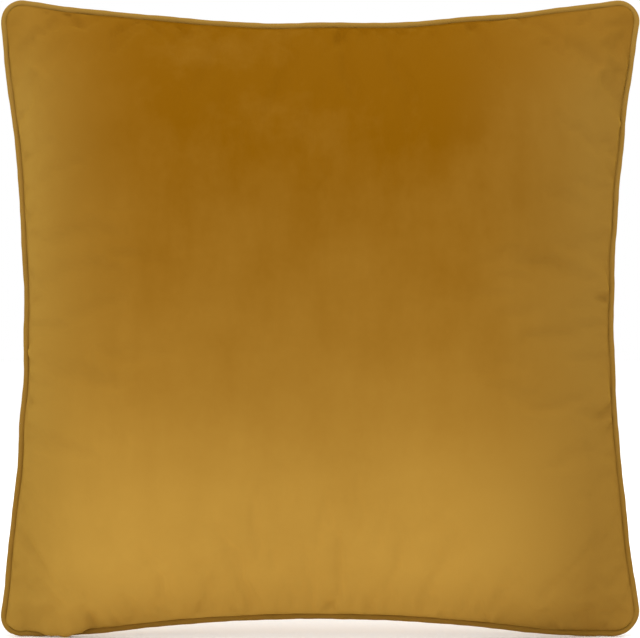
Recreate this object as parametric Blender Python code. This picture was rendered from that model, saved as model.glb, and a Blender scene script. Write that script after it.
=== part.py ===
"""A square velvet throw pillow with piped edges, a zip in its bottom seam and a loose inner pad.

It stands on its bottom corners, front face towards -Y, +X to the viewer's right, +Z up. The origin is under
the middle of the pillow, on the surface that it stands on. Lengths are in metres.

A seam section is drawn in (n, y): n runs outwards from the middle line of the piping, in the plane of the
seam, and y towards the back. The zip lies on a circular arc, so its pieces are sections turned about one
axis, and its slider follows them exactly. A zip section is drawn in (w, h): w across the tapes, from their
middle towards the back panel, and h out of the cover.
"""

import math

import bmesh
import bpy
from mathutils import Matrix, Vector

# Size of the filled pillow, over the piping
WIDTH = 0.540
HEIGHT = 0.537
THICKNESS = 0.165

# The outer edge: each side is an arc in its middle, then bends to the lean at which it meets its corners
SIDES = ("bottom", "right", "top", "left")
SIDE_RADIUS = {"bottom": 1.38, "right": 1.35, "top": 1.53, "left": 1.38}
SIDE_LEAN = {"bottom": 0.0, "right": math.radians(8.4), "top": math.radians(7.2), "left": math.radians(6.0)}
CORNER_RADIUS = {"bottom": 0.018, "right": 0.022, "top": 0.018, "left": 0.018}  # where each side starts
RESTING_LENGTH = 0.016

# The crown of a face: a flat middle, then a fall to the seam
FLAT_SHARE = 0.20
CROWN_POWER = 2.8
CROWN_FULLNESS = 0.75
RING_SHARES = (0.20, 0.45, 0.65, 0.80, 0.91, 1.0)

# Cloth, thread and clearances
GAP = 0.0003
PANEL_CLOTH = 0.0012
PIPING_RADIUS = 0.0027
PIPING_CLOTH = 0.0007
PIPING_SLIT = 0.0002
SEAM_ALLOWANCE = 0.0075
FLANGE_TILT = math.radians(5.0)
THREAD_RADIUS = 0.0003

# Inner pad
PAD_CLEARANCE = 0.0023
PAD_CLOTH = 0.0005
PAD_FACE_GAP = 0.0004
PAD_RIM_GAP = 0.0003
PAD_OPENING_HALF = 0.100
PAD_STITCH_PITCH = 0.008
PAD_STITCH_REACH = 0.0007
FILLING_INSET = 0.004

# Zip
ZIP_HALF = 0.150
ZIP_FROM_SEAM = 0.0052
ZIP_LIP = 0.0048
ZIP_HEM = 0.0035
SLOT_END = 0.005
CURVE_PAST_ZIP = 0.006
TAPE_THICKNESS = 0.0005
TAPE_REACH = 0.0115
TAPE_SPARE = 0.0004
COIL_WIDTH = 0.0018
COIL_HEIGHT = 0.0014
COIL_BEVEL = 0.0004
COIL_FROM_MIDDLE = 0.0005
STOP_LENGTH = 0.0022
STOP_OVERHANG = 0.0003
STOP_CLEARANCE = 0.0004

# Zip slider and pull
SLIDER_HALF_LENGTH = 0.0048
SLIDER_HALF_WIDTH = 0.0033
SLIDER_PLATE = 0.0008
SLIDER_LIP = 0.0006
BRIDGE_HALF_WIDTH = 0.0009
BRIDGE_WALL = 0.0008
BRIDGE_TUNNEL_HALF = 0.0012
BRIDGE_TUNNEL_HEIGHT = 0.0018
BRIDGE_SINK = 0.0002
PULL_LENGTH = 0.0125
PULL_THICKNESS = 0.0008
PULL_NECK_HALF = 0.0020
PULL_HALF_WIDTH = 0.0025
PULL_BAR = 0.0009

# Care label and bar tacks
LABEL_LENGTH = 0.018
LABEL_HALF_WIDTH = 0.014
LABEL_HEIGHT = 0.160
LABEL_CLOTH = 0.0004
LABEL_CLEARANCE = 0.0009
LABEL_DROOP = 0.0004
TACK_HALF_WIDTH = 0.0012
TACK_THICKNESS = 0.0006

# How finely curves are divided
STATION_SPACING = 0.045
PAD_STATION_SPACING = 0.075
CORNER_STEPS = 4
PAD_CORNER_STEPS = 3
ZIP_STEP = 0.016
FACET = math.radians(45.0)

# What follows from those sizes
PIPING_FLAT = PIPING_RADIUS * math.cos(FACET / 2)
CORD_RADIUS = PIPING_RADIUS - PIPING_CLOTH - GAP
FLANGE_HALF = PIPING_SLIT / 2 + PIPING_CLOTH
FLANGE_REACH = PIPING_RADIUS + SEAM_ALLOWANCE
SEAM_N = -(PIPING_RADIUS + GAP)
SEAM_Y = PANEL_CLOTH + GAP + FLANGE_HALF + (PIPING_RADIUS + GAP) * math.sin(FLANGE_TILT)
PAD_INSET = FLANGE_REACH + PAD_CLEARANCE
SLOT_SKEW = ZIP_HALF * (ZIP_FROM_SEAM + ZIP_LIP) / (HEIGHT / 2)
SLOT_FULL = ZIP_HALF + STOP_CLEARANCE + STOP_LENGTH + SLOT_SKEW
TAPE_HALF = SLOT_FULL + SLOT_END
CURVE_HALF = TAPE_HALF + CURVE_PAST_ZIP
TAPE_DEPTH = PANEL_CLOTH + GAP + TAPE_THICKNESS / 2
COIL_LOW = -TAPE_DEPTH + TAPE_THICKNESS / 2 + GAP / 2
COIL_HIGH = COIL_LOW + COIL_HEIGHT
COIL_FAR = COIL_FROM_MIDDLE + COIL_WIDTH
SLIDER_BLADE_HALF = COIL_FROM_MIDDLE - GAP
SLIDER_TOP = COIL_HIGH + GAP + SLIDER_PLATE
SLIDER_BOTTOM = -TAPE_DEPTH - TAPE_THICKNESS / 2 - GAP - SLIDER_PLATE
SLIDER_REST = ZIP_HALF - SLIDER_HALF_LENGTH
PULL_AXIS = SLIDER_TOP + BRIDGE_TUNNEL_HEIGHT / 2
MIDDLE = Vector((0.0, HEIGHT / 2))

MATERIALS = {
    "velvet": ((0.36, 0.165, 0.012), 0.9, 0.0),
    "cotton_cord": ((0.78, 0.74, 0.66), 0.9, 0.0),
    "thread": ((0.33, 0.15, 0.015), 0.6, 0.0),
    "zip_tape": ((0.34, 0.17, 0.03), 0.8, 0.0),
    "zip_coil": ((0.40, 0.21, 0.04), 0.35, 0.0),
    "zip_metal": ((0.62, 0.47, 0.22), 0.3, 1.0),
    "pad_cloth": ((0.86, 0.86, 0.84), 0.8, 0.0),
    "filling": ((0.93, 0.93, 0.91), 0.95, 0.0),
    "pad_thread": ((0.85, 0.85, 0.83), 0.6, 0.0),
    "label": ((0.88, 0.87, 0.84), 0.5, 0.0),
}


# ---------------------------------------------------------------- outline


class Side:
    """One side of the outer edge, between its two corners. s runs along it from its middle."""

    def __init__(self, index):
        name, following = SIDES[index], SIDES[(index + 1) % 4]
        self.along = (Vector((1, 0)), Vector((0, 1)), Vector((-1, 0)), Vector((0, -1)))[index]
        self.inward = Vector((-self.along.y, self.along.x))
        self.lean = SIDE_LEAN[name]
        self.radius = SIDE_RADIUS[name]
        self.straight = RESTING_LENGTH if name == "bottom" else 0.0
        outward = -self.inward * math.cos(self.lean)
        sideways = self.along * math.sin(self.lean)
        self.start = corner_centre(index) + (outward + sideways) * CORNER_RADIUS[name]
        self.end = corner_centre((index + 1) % 4) + (outward - sideways) * CORNER_RADIUS[following]
        self.half = (self.end - self.start).dot(self.along) / 2
        self.sag = self.radius - math.sqrt(self.radius**2 - CURVE_HALF**2)
        self.slope = CURVE_HALF / math.sqrt(self.radius**2 - CURVE_HALF**2)
        self.bend = self.half - self.straight - CURVE_HALF
        mean_slope = (self.slope + math.tan(self.lean)) / 2
        self.pull_in = self.sag + mean_slope * self.bend + math.tan(self.lean) * self.straight

    def point(self, s):
        """The outer edge at s."""
        past = abs(s) - CURVE_HALF
        if past <= 0:
            depth = self.pull_in - self.radius + math.sqrt(self.radius**2 - s**2)
        elif past <= self.bend:
            change = (self.slope - math.tan(self.lean)) / self.bend
            depth = self.pull_in - self.sag - self.slope * past + change * past**2 / 2
        else:
            depth = (self.half - abs(s)) * math.tan(self.lean)
        share = (s + self.half) / (2 * self.half)
        ends = self.start.lerp(self.end, share)
        return ends + self.inward * depth

    def centre(self):
        """The centre of the arc in the side's middle."""
        return (self.start + self.end) / 2 + self.inward * (self.pull_in - self.radius)

    def stations(self, spacing):
        marks = [-self.half, self.half]
        if self.straight:
            slot = (SLOT_FULL, TAPE_HALF, self.half - self.straight)
            marks += [side * mark for mark in slot for side in (-1, 1)]
        marks.sort()
        found = []
        for a, b in zip(marks, marks[1:]):
            steps = max(1, math.ceil((b - a) / spacing))
            found += [a + (b - a) * i / steps for i in range(steps)]
        return found + [marks[-1]]


def corner_centre(index):
    """The centre of the rounded corner at which side number index starts."""
    radius = CORNER_RADIUS[SIDES[index]]
    across, up = ((-1, -1), (1, -1), (1, 1), (-1, 1))[index]
    return MIDDLE + Vector((across * (WIDTH / 2 - radius), up * (HEIGHT / 2 - radius)))


def piping_line(spacing, corner_steps):
    """The closed middle line of the piping, anticlockwise from the front: its (x, z) points and normals."""
    points, normals = [], []
    for index in range(4):
        side = Side(index)
        for s in side.stations(spacing):
            edge = side.point(s)
            ahead = side.point(s + 0.0005) - side.point(s - 0.0005)
            normal = Vector((ahead.y, -ahead.x)).normalized()
            points.append(edge - normal * PIPING_FLAT)
            normals.append(normal)
        points_in, normals_in = corner_arc(index, corner_steps)
        points += points_in
        normals += normals_in
    return points, normals


def corner_arc(index, steps):
    """The stretch between the end of side number index and the start of the next, without its two ends."""
    following = (index + 1) % 4
    first = (index - 1) * math.pi / 2 - Side(index).lean
    last = index * math.pi / 2 + Side(following).lean
    radius = CORNER_RADIUS[SIDES[following]] - PIPING_FLAT
    points, normals = [], []
    for i in range(1, steps):
        angle = first + (last - first) * i / steps
        normal = Vector((math.cos(angle), math.sin(angle)))
        points.append(corner_centre(following) + normal * radius)
        normals.append(normal)
    return points, normals


def offset_line(line, n):
    return [point + normal * n for point, normal in zip(*line)]


# ---------------------------------------------------------------- crown


def crown_share(share, rim):
    """Height of a face as a share of its rise, at a share of the way from its middle to a rim point."""
    across = abs(rim.x - MIDDLE.x) / (WIDTH / 2)
    up = abs(rim.y - MIDDLE.y) / (HEIGHT / 2)
    height = 1.0
    for side in (across, up):
        reach = share * side / max(across, up)
        fall = max(0.0, (reach - FLAT_SHARE) / (1 - FLAT_SHARE))
        height *= 1 - fall**CROWN_POWER
    return height**CROWN_FULLNESS


def face_point(rim, share, rim_y, full_y):
    """A point of a crowned face: rim_y at its rim, full_y at its middle."""
    place = MIDDLE + (rim - MIDDLE) * share
    return Vector((place.x, rim_y + (full_y - rim_y) * crown_share(share, rim), place.y))


def crowned_rings(rims, rim_y, full_y):
    """Rings of points from near the middle of a face to its rim."""
    return [[face_point(rim, share, rim_y, full_y) for rim in rims] for share in RING_SHARES]


def facet_point(spoke, inset, lift):
    """A point lifted off a face's outermost facet, inset from its rim. spoke is (inner, rim, normal)."""
    inner, rim, normal = spoke
    inwards = (inner - rim) / -(inner - rim).dot(normal)
    slope = inwards.normalized()
    level = Vector((-normal.z, 0, normal.x))
    off = slope.cross(level).normalized()
    off = off if off.y > 0 else -off
    return rim + inwards * inset + off * lift


# ---------------------------------------------------------------- mesh helpers


def material_named(name):
    if name in bpy.data.materials:
        return bpy.data.materials[name]
    colour, roughness, metallic = MATERIALS[name]
    material = bpy.data.materials.new(name)
    material.use_nodes = True
    shader = material.node_tree.nodes["Principled BSDF"]
    shader.inputs["Base Color"].default_value = (*colour, 1.0)
    shader.inputs["Roughness"].default_value = roughness
    shader.inputs["Metallic"].default_value = metallic
    return material


def new_object(name, bm, material, sharp_degrees=40.0):
    mesh = bpy.data.meshes.new(name)
    bm.to_mesh(mesh)
    bm.free()
    obj = bpy.data.objects.new(name, mesh)
    bpy.context.scene.collection.objects.link(obj)
    obj.data.materials.append(material_named(material))
    obj.data.shade_smooth()
    obj.data.set_sharp_from_angle(angle=math.radians(sharp_degrees))
    return obj


def face_outwards(bm):
    bmesh.ops.recalc_face_normals(bm, faces=bm.faces)
    if bm.calc_volume(signed=True) < 0:
        bmesh.ops.reverse_faces(bm, faces=bm.faces)


def add_dish(bm, rings, towards_front, rim=None):
    """Adds a crowned face to bm. rim gives the last ring's vertices, where another dish has made them."""
    verts = [[bm.verts.new(point) for point in ring] for ring in rings[:-1]]
    verts.append(rim or [bm.verts.new(point) for point in rings[-1]])
    centre = bm.verts.new(sum(rings[0], Vector()) / len(rings[0]))
    count = len(verts[0])
    faces = []
    for i in range(count):
        j = (i + 1) % count
        faces.append((centre, verts[0][i], verts[0][j]))
        for inner, outer in zip(verts, verts[1:]):
            faces.append((inner[i], outer[i], outer[j], inner[j]))
    for face in faces:
        bm.faces.new(face if towards_front else face[::-1])
    return verts[-1]


def shell(name, rings, towards_front, thickness, material):
    """A crowned sheet of cloth whose outer surface is the rings, thickened inwards."""
    bm = bmesh.new()
    add_dish(bm, rings, towards_front)
    obj = new_object(name, bm, material)
    solidify = obj.modifiers.new("cloth", "SOLIDIFY")
    solidify.thickness = thickness
    solidify.offset = -1
    return obj


def sweep(name, sections, material, closed=False):
    """Skin over a row of section loops with equal point counts, capped at its ends unless it closes."""
    bm = bmesh.new()
    verts = [[bm.verts.new(point) for point in section] for section in sections]
    following = verts[1:] + ([verts[0]] if closed else [])
    for this, ahead in zip(verts, following):
        for i in range(len(this)):
            j = (i + 1) % len(this)
            bm.faces.new((this[i], this[j], ahead[j], ahead[i]))
    if not closed:
        bm.faces.new(verts[0])
        bm.faces.new(verts[-1])
    face_outwards(bm)
    return new_object(name, bm, material)


def round_section(radius, sides, centre=(0.0, 0.0)):
    turn = 2 * math.pi / sides
    angles = [turn * (i + 0.5) for i in range(sides)]
    return [(centre[0] + radius * math.cos(a), centre[1] + radius * math.sin(a)) for a in angles]


def along_seam(line, section):
    """A section in (n, y) placed at every point of the piping's line."""
    placed = []
    for point, normal in zip(*line):
        placed.append([Vector((point.x + normal.x * n, y, point.y + normal.y * n)) for n, y in section])
    return placed


def thread(name, route, material="thread"):
    """A capped thread along 3-D points that run mainly across Y."""
    sections = []
    for i, point in enumerate(route):
        ahead = (route[min(i + 1, len(route) - 1)] - route[max(i - 1, 0)]).normalized()
        side = ahead.cross(Vector((0, 1, 0))).normalized()
        up = side.cross(ahead)
        sections.append([point + side * a + up * b for a, b in round_section(THREAD_RADIUS, 4)])
    return sweep(name, sections, material)


def thick_strip(line, thickness):
    """The outline of a strip of this thickness whose middle runs through 2-D points."""
    left, right = [], []
    line = [Vector(point) for point in line]
    for i, point in enumerate(line):
        pairs = [(i - 1, i)] if i else []
        if i < len(line) - 1:
            pairs.append((i, i + 1))
        ways = [(line[b] - line[a]).normalized() for a, b in pairs]
        mean = sum(ways, Vector((0, 0))).normalized()
        across = Vector((-mean.y, mean.x)) * thickness / 2 / mean.dot(ways[0])
        left.append(point + across)
        right.append(point - across)
    return left + right[::-1]


# ---------------------------------------------------------------- cover


def flange_point(reach, side_step):
    """A point this far along the piping's flange from the cord's middle, side_step towards the back."""
    way = Vector((-math.cos(FLANGE_TILT), -math.sin(FLANGE_TILT)))
    return way * reach + Vector((way.y, -way.x)) * side_step


def ring_angles(half_opening):
    """Angles round the cord from the flange's back side to its front side, with a facet facing along n."""
    first = math.pi + FLANGE_TILT - half_opening
    last = -math.pi + FLANGE_TILT + half_opening
    between = [FACET * (k + 0.5) for k in range(4, -6, -1)]
    margin = FACET / 4
    return [first] + [a for a in between if last + margin < a < first - margin] + [last]


def add_piping(line):
    """The bias strip, wrapped round its cord and closed as a flange, with a slit between its two layers."""
    inner = PIPING_RADIUS - PIPING_CLOTH
    outer_angles = ring_angles(math.asin(FLANGE_HALF / PIPING_RADIUS))
    inner_angles = ring_angles(math.asin(PIPING_SLIT / 2 / inner))
    section = [flange_point(FLANGE_REACH, FLANGE_HALF)]
    section += [Vector((math.cos(a), math.sin(a))) * PIPING_RADIUS for a in outer_angles]
    section += [flange_point(FLANGE_REACH, -FLANGE_HALF), flange_point(FLANGE_REACH, -PIPING_SLIT / 2)]
    section += [Vector((math.cos(a), math.sin(a))) * inner for a in inner_angles[::-1]]
    section += [flange_point(FLANGE_REACH, PIPING_SLIT / 2)]
    sweep("piping_cover", along_seam(line, section), "velvet", closed=True)
    sweep("piping_cord", along_seam(line, round_section(CORD_RADIUS, 8)), "cotton_cord", closed=True)
    lay = flange_point(PIPING_RADIUS + SEAM_ALLOWANCE / 2, -FLANGE_HALF - GAP - THREAD_RADIUS)
    sweep("seam_thread", along_seam(line, round_section(THREAD_RADIUS, 4, lay)), "thread", closed=True)


def slot_depth(x, normal):
    """How far the back panel stops short of the seam, which leaves the slot for the zip."""
    if normal.z > -0.9:
        return 0.0
    ramp = (TAPE_HALF - abs(x - zip_centre().x)) / SLOT_END
    return (ZIP_FROM_SEAM + ZIP_LIP) * math.cos(zip_slope()) * min(1.0, max(0.0, ramp))


def add_panels(line):
    """Both faces of the cover. Returns the back face's spokes, to place what lies on it."""
    rims = offset_line(line, SEAM_N)
    shell("front_panel", crowned_rings(rims, -SEAM_Y, -THICKNESS / 2), True, PANEL_CLOTH, "velvet")
    rings = crowned_rings(rims, SEAM_Y, THICKNESS / 2)
    normals = [Vector((normal.x, 0, normal.y)) for normal in line[1]]
    spokes = []
    for inner, rim, normal in zip(rings[-2], rings[-1], normals):
        rim = facet_point((inner, rim, normal), slot_depth(rim.x, normal), 0.0)
        spokes.append((inner, rim, normal))
    rings[-1] = [rim for _, rim, _ in spokes]
    shell("back_panel", rings, False, PANEL_CLOTH, "velvet")
    return spokes


def add_label(spokes):
    """The care label, caught in the left seam and lying against the inside of the back panel."""
    left = [spoke for spoke in spokes if spoke[2].x < -0.9]
    spoke = min(left, key=lambda item: abs(item[1].z - LABEL_HEIGHT))
    side = Vector((-spoke[2].z, 0, spoke[2].x)) * LABEL_HALF_WIDTH
    sections = []
    for share in (0.0, 1.0):
        inset = SEAM_ALLOWANCE / 2 + LABEL_LENGTH * share
        lift = -PANEL_CLOTH - LABEL_CLEARANCE - LABEL_DROOP * share
        over = facet_point(spoke, inset, lift)
        under = facet_point(spoke, inset, lift - LABEL_CLOTH)
        sections.append([over - side, over + side, under + side, under - side])
    sweep("care_label", sections, "label")


# ---------------------------------------------------------------- pad


def add_pad():
    """Two casings sewn together round their rims, with the filling between them."""
    line = piping_line(PAD_STATION_SPACING, PAD_CORNER_STEPS)
    rims = offset_line(line, -PAD_INSET)
    full = THICKNESS / 2 - PANEL_CLOTH - PAD_FACE_GAP
    rim_y = PAD_RIM_GAP / 2 + PAD_CLOTH
    shell("pad_casing_front", crowned_rings(rims, -rim_y, -full), True, PAD_CLOTH, "pad_cloth")
    shell("pad_casing_back", crowned_rings(rims, rim_y, full), False, PAD_CLOTH, "pad_cloth")
    filling_rims = offset_line(line, -PAD_INSET - FILLING_INSET)
    filling_full = full - PAD_CLOTH - GAP
    bm = bmesh.new()
    rim = add_dish(bm, crowned_rings(filling_rims, 0.0, -filling_full), True)
    add_dish(bm, crowned_rings(filling_rims, 0.0, filling_full), False, rim)
    new_object("pad_filling", bm, "filling")
    add_pad_threads(line)


def add_pad_threads(line):
    """The pad's seam, open along the bottom where it was stuffed, and the row that closes that opening."""
    edge = [Vector((p.x, 0, p.y)) for p in offset_line(line, -PAD_INSET + GAP + THREAD_RADIUS)]
    normals = line[1]
    low = [p for p, normal in zip(edge, normals) if normal.y < -0.9]
    right = [p for p in low if p.x > PAD_OPENING_HALF]
    left = [p for p in low if p.x < -PAD_OPENING_HALF]
    rest = [p for p, normal in zip(edge, normals) if normal.y >= -0.9]
    start = [on_route(low, PAD_OPENING_HALF + 2 * THREAD_RADIUS)]
    end = [on_route(low, -PAD_OPENING_HALF - 2 * THREAD_RADIUS)]
    thread("pad_seam_thread", start + right + rest + left + end, "pad_thread")
    stitches = round(4 * PAD_OPENING_HALF / PAD_STITCH_PITCH)
    zigzag = []
    for k in range(stitches + 1):
        point = on_route(low, -PAD_OPENING_HALF + 2 * PAD_OPENING_HALF * k / stitches)
        zigzag.append(point + Vector((0, PAD_STITCH_REACH * (1 if k % 2 else -1), 0)))
    thread("pad_closing_thread", zigzag, "pad_thread")


def on_route(route, x):
    """The point of a route of ascending x at this x."""
    for a, b in zip(route, route[1:]):
        if a.x <= x <= b.x:
            return a.lerp(b, (x - a.x) / (b.x - a.x))
    raise ValueError(f"the route doesn't reach x = {x}")


# ---------------------------------------------------------------- zip


def zip_centre():
    """The centre of the arc that the bottom seam follows, in (x, z)."""
    return Side(0).centre()


def zip_radius():
    """Radius of the piping's middle line about that centre."""
    return SIDE_RADIUS["bottom"] + PIPING_FLAT


def cover_slope(x):
    """Slope of the cover at the bottom seam, this far from the seam's middle."""
    rim_depth = MIDDLE.y - Side(0).pull_in - PIPING_FLAT + SEAM_N
    rise = (THICKNESS / 2 - SEAM_Y) * crown_share(RING_SHARES[-2], MIDDLE + Vector((x, -rim_depth)))
    return math.atan2(rise, (1 - RING_SHARES[-2]) * rim_depth)


def zip_slope():
    """Slope of the zip, halfway between the cover's at the middle of the zip and at its ends."""
    return (cover_slope(0.0) + cover_slope(ZIP_HALF)) / 2


def cover_dip(reach):
    """How far the cover falls below the zip's slope beyond the slot's ends, this far from the seam."""
    return reach * math.sin(zip_slope() - cover_slope(TAPE_HALF))


def zip_section(points):
    """Points given in (w, h) as (n, y), low enough for the zip to pass under the cover at the slot's ends."""
    slope = zip_slope()
    along = Vector((-math.cos(slope), math.sin(slope)))
    out = Vector((math.sin(slope), math.cos(slope)))
    seam = Vector((SEAM_N, SEAM_Y)) - out * cover_dip(ZIP_FROM_SEAM + SLIDER_HALF_WIDTH)
    return [seam + along * (ZIP_FROM_SEAM + w) + out * h for w, h in points]


def zip_place(s, n, y):
    """A point at arc length s along the zip, with section place (n, y)."""
    angle = s / zip_radius()
    radius = zip_radius() - n
    centre = zip_centre()
    return Vector((centre.x + radius * math.sin(angle), y, centre.y + radius * math.cos(angle)))


def zip_strip(name, section, start, end, material):
    """A piece with this (n, y) section, turned about the zip's centre from arc length start to end."""
    steps = max(1, math.ceil((end - start) / ZIP_STEP))
    sections = []
    for k in range(steps + 1):
        s = start + (end - start) * k / steps
        sections.append([zip_place(s, n, y) for n, y in section])
    return sweep(name, sections, material)


def add_tapes():
    """Two woven tapes: one turns in along the piping's flange, one lies under the back panel's hem."""
    off = FLANGE_HALF + GAP + TAPE_THICKNESS / 2
    turned = zip_section([
        (-COIL_FROM_MIDDLE, -TAPE_DEPTH),
        (-SLIDER_HALF_WIDTH - GAP, -TAPE_DEPTH),
        (-ZIP_FROM_SEAM + 2 * GAP, -TAPE_DEPTH - TAPE_THICKNESS),
    ])
    turned += [flange_point(PIPING_RADIUS + 0.0018, off), flange_point(FLANGE_REACH, off)]
    under = zip_section([
        (COIL_FROM_MIDDLE, -TAPE_DEPTH),
        (SLIDER_HALF_WIDTH + GAP, -TAPE_DEPTH),
        (TAPE_REACH, -TAPE_DEPTH - cover_dip(TAPE_REACH - SLIDER_HALF_WIDTH) - TAPE_SPARE),
    ])
    for name, route in (("front", turned), ("back", under)):
        outline = thick_strip(route, TAPE_THICKNESS)
        zip_strip(f"zip_tape_{name}", outline, -TAPE_HALF, TAPE_HALF, "zip_tape")


def add_coils_and_stops():
    profile = [
        (COIL_FROM_MIDDLE, COIL_LOW),
        (COIL_FAR - COIL_BEVEL, COIL_LOW),
        (COIL_FAR, COIL_LOW + COIL_BEVEL),
        (COIL_FAR, COIL_HIGH - COIL_BEVEL),
        (COIL_FAR - COIL_BEVEL, COIL_HIGH),
        (COIL_FROM_MIDDLE + COIL_BEVEL, COIL_HIGH),
        (COIL_FROM_MIDDLE, COIL_HIGH - COIL_BEVEL),
    ]
    high, far = COIL_HIGH + STOP_OVERHANG, COIL_FAR + STOP_OVERHANG
    top_end, bottom_end = ZIP_HALF + STOP_CLEARANCE, -ZIP_HALF - STOP_CLEARANCE
    for name, side in (("front", -1), ("back", 1)):
        coil = zip_section([(side * w, h) for w, h in profile])
        zip_strip(f"zip_coil_{name}", coil, -ZIP_HALF, ZIP_HALF, "zip_coil")
        block = [(COIL_FROM_MIDDLE, COIL_LOW), (far, COIL_LOW), (far, high), (COIL_FROM_MIDDLE, high)]
        stop = zip_section([(side * w, h) for w, h in block])
        zip_strip(f"zip_top_stop_{name}", stop, top_end, top_end + STOP_LENGTH, "zip_metal")
    block = zip_section([(-far, COIL_LOW), (far, COIL_LOW), (far, high), (-far, high)])
    zip_strip("zip_bottom_stop", block, bottom_end - STOP_LENGTH, bottom_end, "zip_metal")


def slider_frame(height=0.0):
    """Matrix from slider axes to the pillow: t towards the bottom stop, w and h of the zip's section."""
    angle, slope = SLIDER_REST / zip_radius(), zip_slope()
    origin = zip_place(SLIDER_REST, *zip_section([(0.0, height)])[0])
    outward = Vector((-math.sin(angle), 0, -math.cos(angle)))
    back = Vector((0, 1, 0))
    t = Vector((-math.cos(angle), 0, math.sin(angle)))
    w = back * math.sin(slope) - outward * math.cos(slope)
    h = back * math.cos(slope) + outward * math.sin(slope)
    turn = Matrix((t, w, h)).transposed().to_4x4()
    return Matrix.Translation(origin) @ turn


def prism(name, outline, low, high, axes):
    """An outline in two of the slider's axes drawn out along the third; axes orders them, as in "thw"."""
    bm = bmesh.new()
    loops = []
    for level in (low, high):
        loop = []
        for a, b in outline:
            values = dict(zip(axes, (a, b, level)))
            loop.append(bm.verts.new((values["t"], values["w"], values["h"])))
        loops.append(loop)
    for i in range(len(outline)):
        j = (i + 1) % len(outline)
        bm.faces.new((loops[0][i], loops[0][j], loops[1][j], loops[1][i]))
    for loop in loops:
        bm.faces.new(loop)
    face_outwards(bm)
    return new_object(name, bm, "zip_metal", 30.0)


def combine(base, other, operation):
    """A Boolean between two objects, kept on the first as a mesh; the second is removed."""
    boolean = base.modifiers.new("combine", "BOOLEAN")
    boolean.operation = operation
    boolean.object = other
    graph = bpy.context.evaluated_depsgraph_get()
    mesh = bpy.data.meshes.new_from_object(base.evaluated_get(graph))
    base.modifiers.clear()
    base.data = mesh
    bpy.data.objects.remove(other)


def add_slider():
    """A body whose blade runs between the coils, with a bridge on top that holds the pull."""
    roof_in = SLIDER_TOP - SLIDER_PLATE
    floor_in = SLIDER_BOTTOM + SLIDER_PLATE
    lip_end = -TAPE_DEPTH + TAPE_THICKNESS / 2 + GAP
    wide = SLIDER_HALF_WIDTH
    half = [
        (wide, SLIDER_BOTTOM),
        (wide, floor_in),
        (SLIDER_BLADE_HALF, floor_in),
        (SLIDER_BLADE_HALF, roof_in),
        (wide - SLIDER_LIP, roof_in),
        (wide - SLIDER_LIP, lip_end),
        (wide, lip_end),
        (wide, SLIDER_TOP),
    ]
    section = half + [(-w, h) for w, h in half[::-1]]
    body = prism("zip_slider", section, -SLIDER_HALF_LENGTH, SLIDER_HALF_LENGTH, "wht")
    foot, roof = SLIDER_TOP - BRIDGE_SINK, SLIDER_TOP + BRIDGE_TUNNEL_HEIGHT
    outer = BRIDGE_TUNNEL_HALF + BRIDGE_WALL
    half_arch = [
        (BRIDGE_TUNNEL_HALF, roof),
        (BRIDGE_TUNNEL_HALF, foot),
        (outer, foot),
        (outer, roof + BRIDGE_WALL / 2),
        (outer - BRIDGE_WALL / 2, roof + BRIDGE_WALL),
    ]
    arch = half_arch + [(-t, h) for t, h in half_arch[::-1]]
    combine(body, prism("bridge", arch, -BRIDGE_HALF_WIDTH, BRIDGE_HALF_WIDTH, "thw"), "UNION")
    body.matrix_world = slider_frame()


def add_pull():
    """A flat tab with a window; the bar at the window's end lies in the slider's bridge."""
    bar, wide, neck = PULL_BAR / 2, PULL_HALF_WIDTH, PULL_NECK_HALF
    bridge_corner = math.hypot(BRIDGE_TUNNEL_HALF + BRIDGE_WALL, BRIDGE_TUNNEL_HEIGHT / 2 + BRIDGE_WALL)
    window_end = bridge_corner + GAP
    window_half = BRIDGE_HALF_WIDTH + GAP
    tip_centre = PULL_LENGTH - wide
    tip = []
    for k in range(7):
        angle = math.pi / 2 - math.pi * k / 6
        tip.append((tip_centre + wide * math.cos(angle), wide * math.sin(angle)))
    outline = [(-bar, neck), (2 * window_end, neck)] + tip + [(2 * window_end, -neck), (-bar, -neck)]
    tab = prism("zip_pull", outline, -PULL_THICKNESS / 2, PULL_THICKNESS / 2, "twh")
    window = [(bar, window_half), (window_end, window_half), (window_end, -window_half), (bar, -window_half)]
    combine(tab, prism("window", window, -PULL_THICKNESS, PULL_THICKNESS, "twh"), "DIFFERENCE")
    tab.matrix_world = slider_frame(PULL_AXIS)


def add_zip_threads(spokes):
    """The two rows that hold the tapes, and the tacks that close the slot's ends."""
    off = FLANGE_HALF + 2 * GAP + TAPE_THICKNESS + THREAD_RADIUS
    lay = flange_point(FLANGE_REACH - SEAM_ALLOWANCE / 3, off)
    row = round_section(THREAD_RADIUS, 4, lay)
    zip_strip("zip_thread_front", row, -SLOT_FULL, SLOT_FULL, "thread")
    low = [spoke for spoke in spokes if spoke[2].z < -0.9]
    hem = [spoke for spoke in low if abs(spoke[1].x - zip_centre().x) < SLOT_FULL + SLOT_END / 2]
    thread("zip_thread_back", [facet_point(spoke, ZIP_HEM, GAP + THREAD_RADIUS) for spoke in hem])
    for name, side in (("left", -1), ("right", 1)):
        end = zip_centre().x + side * TAPE_HALF
        spoke = min(low, key=lambda item: abs(item[1].x - end))
        outer = Vector((-spoke[2].z, 0, spoke[2].x)) * side
        sections = []
        for share in (0.0, 1.0):
            inset = (ZIP_HEM - THREAD_RADIUS - 2 * GAP) * share
            across = []
            for step, lift in ((0, GAP), (2, GAP), (2, GAP + TACK_THICKNESS), (0, GAP + TACK_THICKNESS)):
                across.append(facet_point(spoke, inset, lift) + outer * step * TACK_HALF_WIDTH)
            sections.append(across)
        sweep(f"bar_tack_{name}", sections, "thread")


def clear_scene():
    for obj in list(bpy.data.objects):
        bpy.data.objects.remove(obj)


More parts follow.
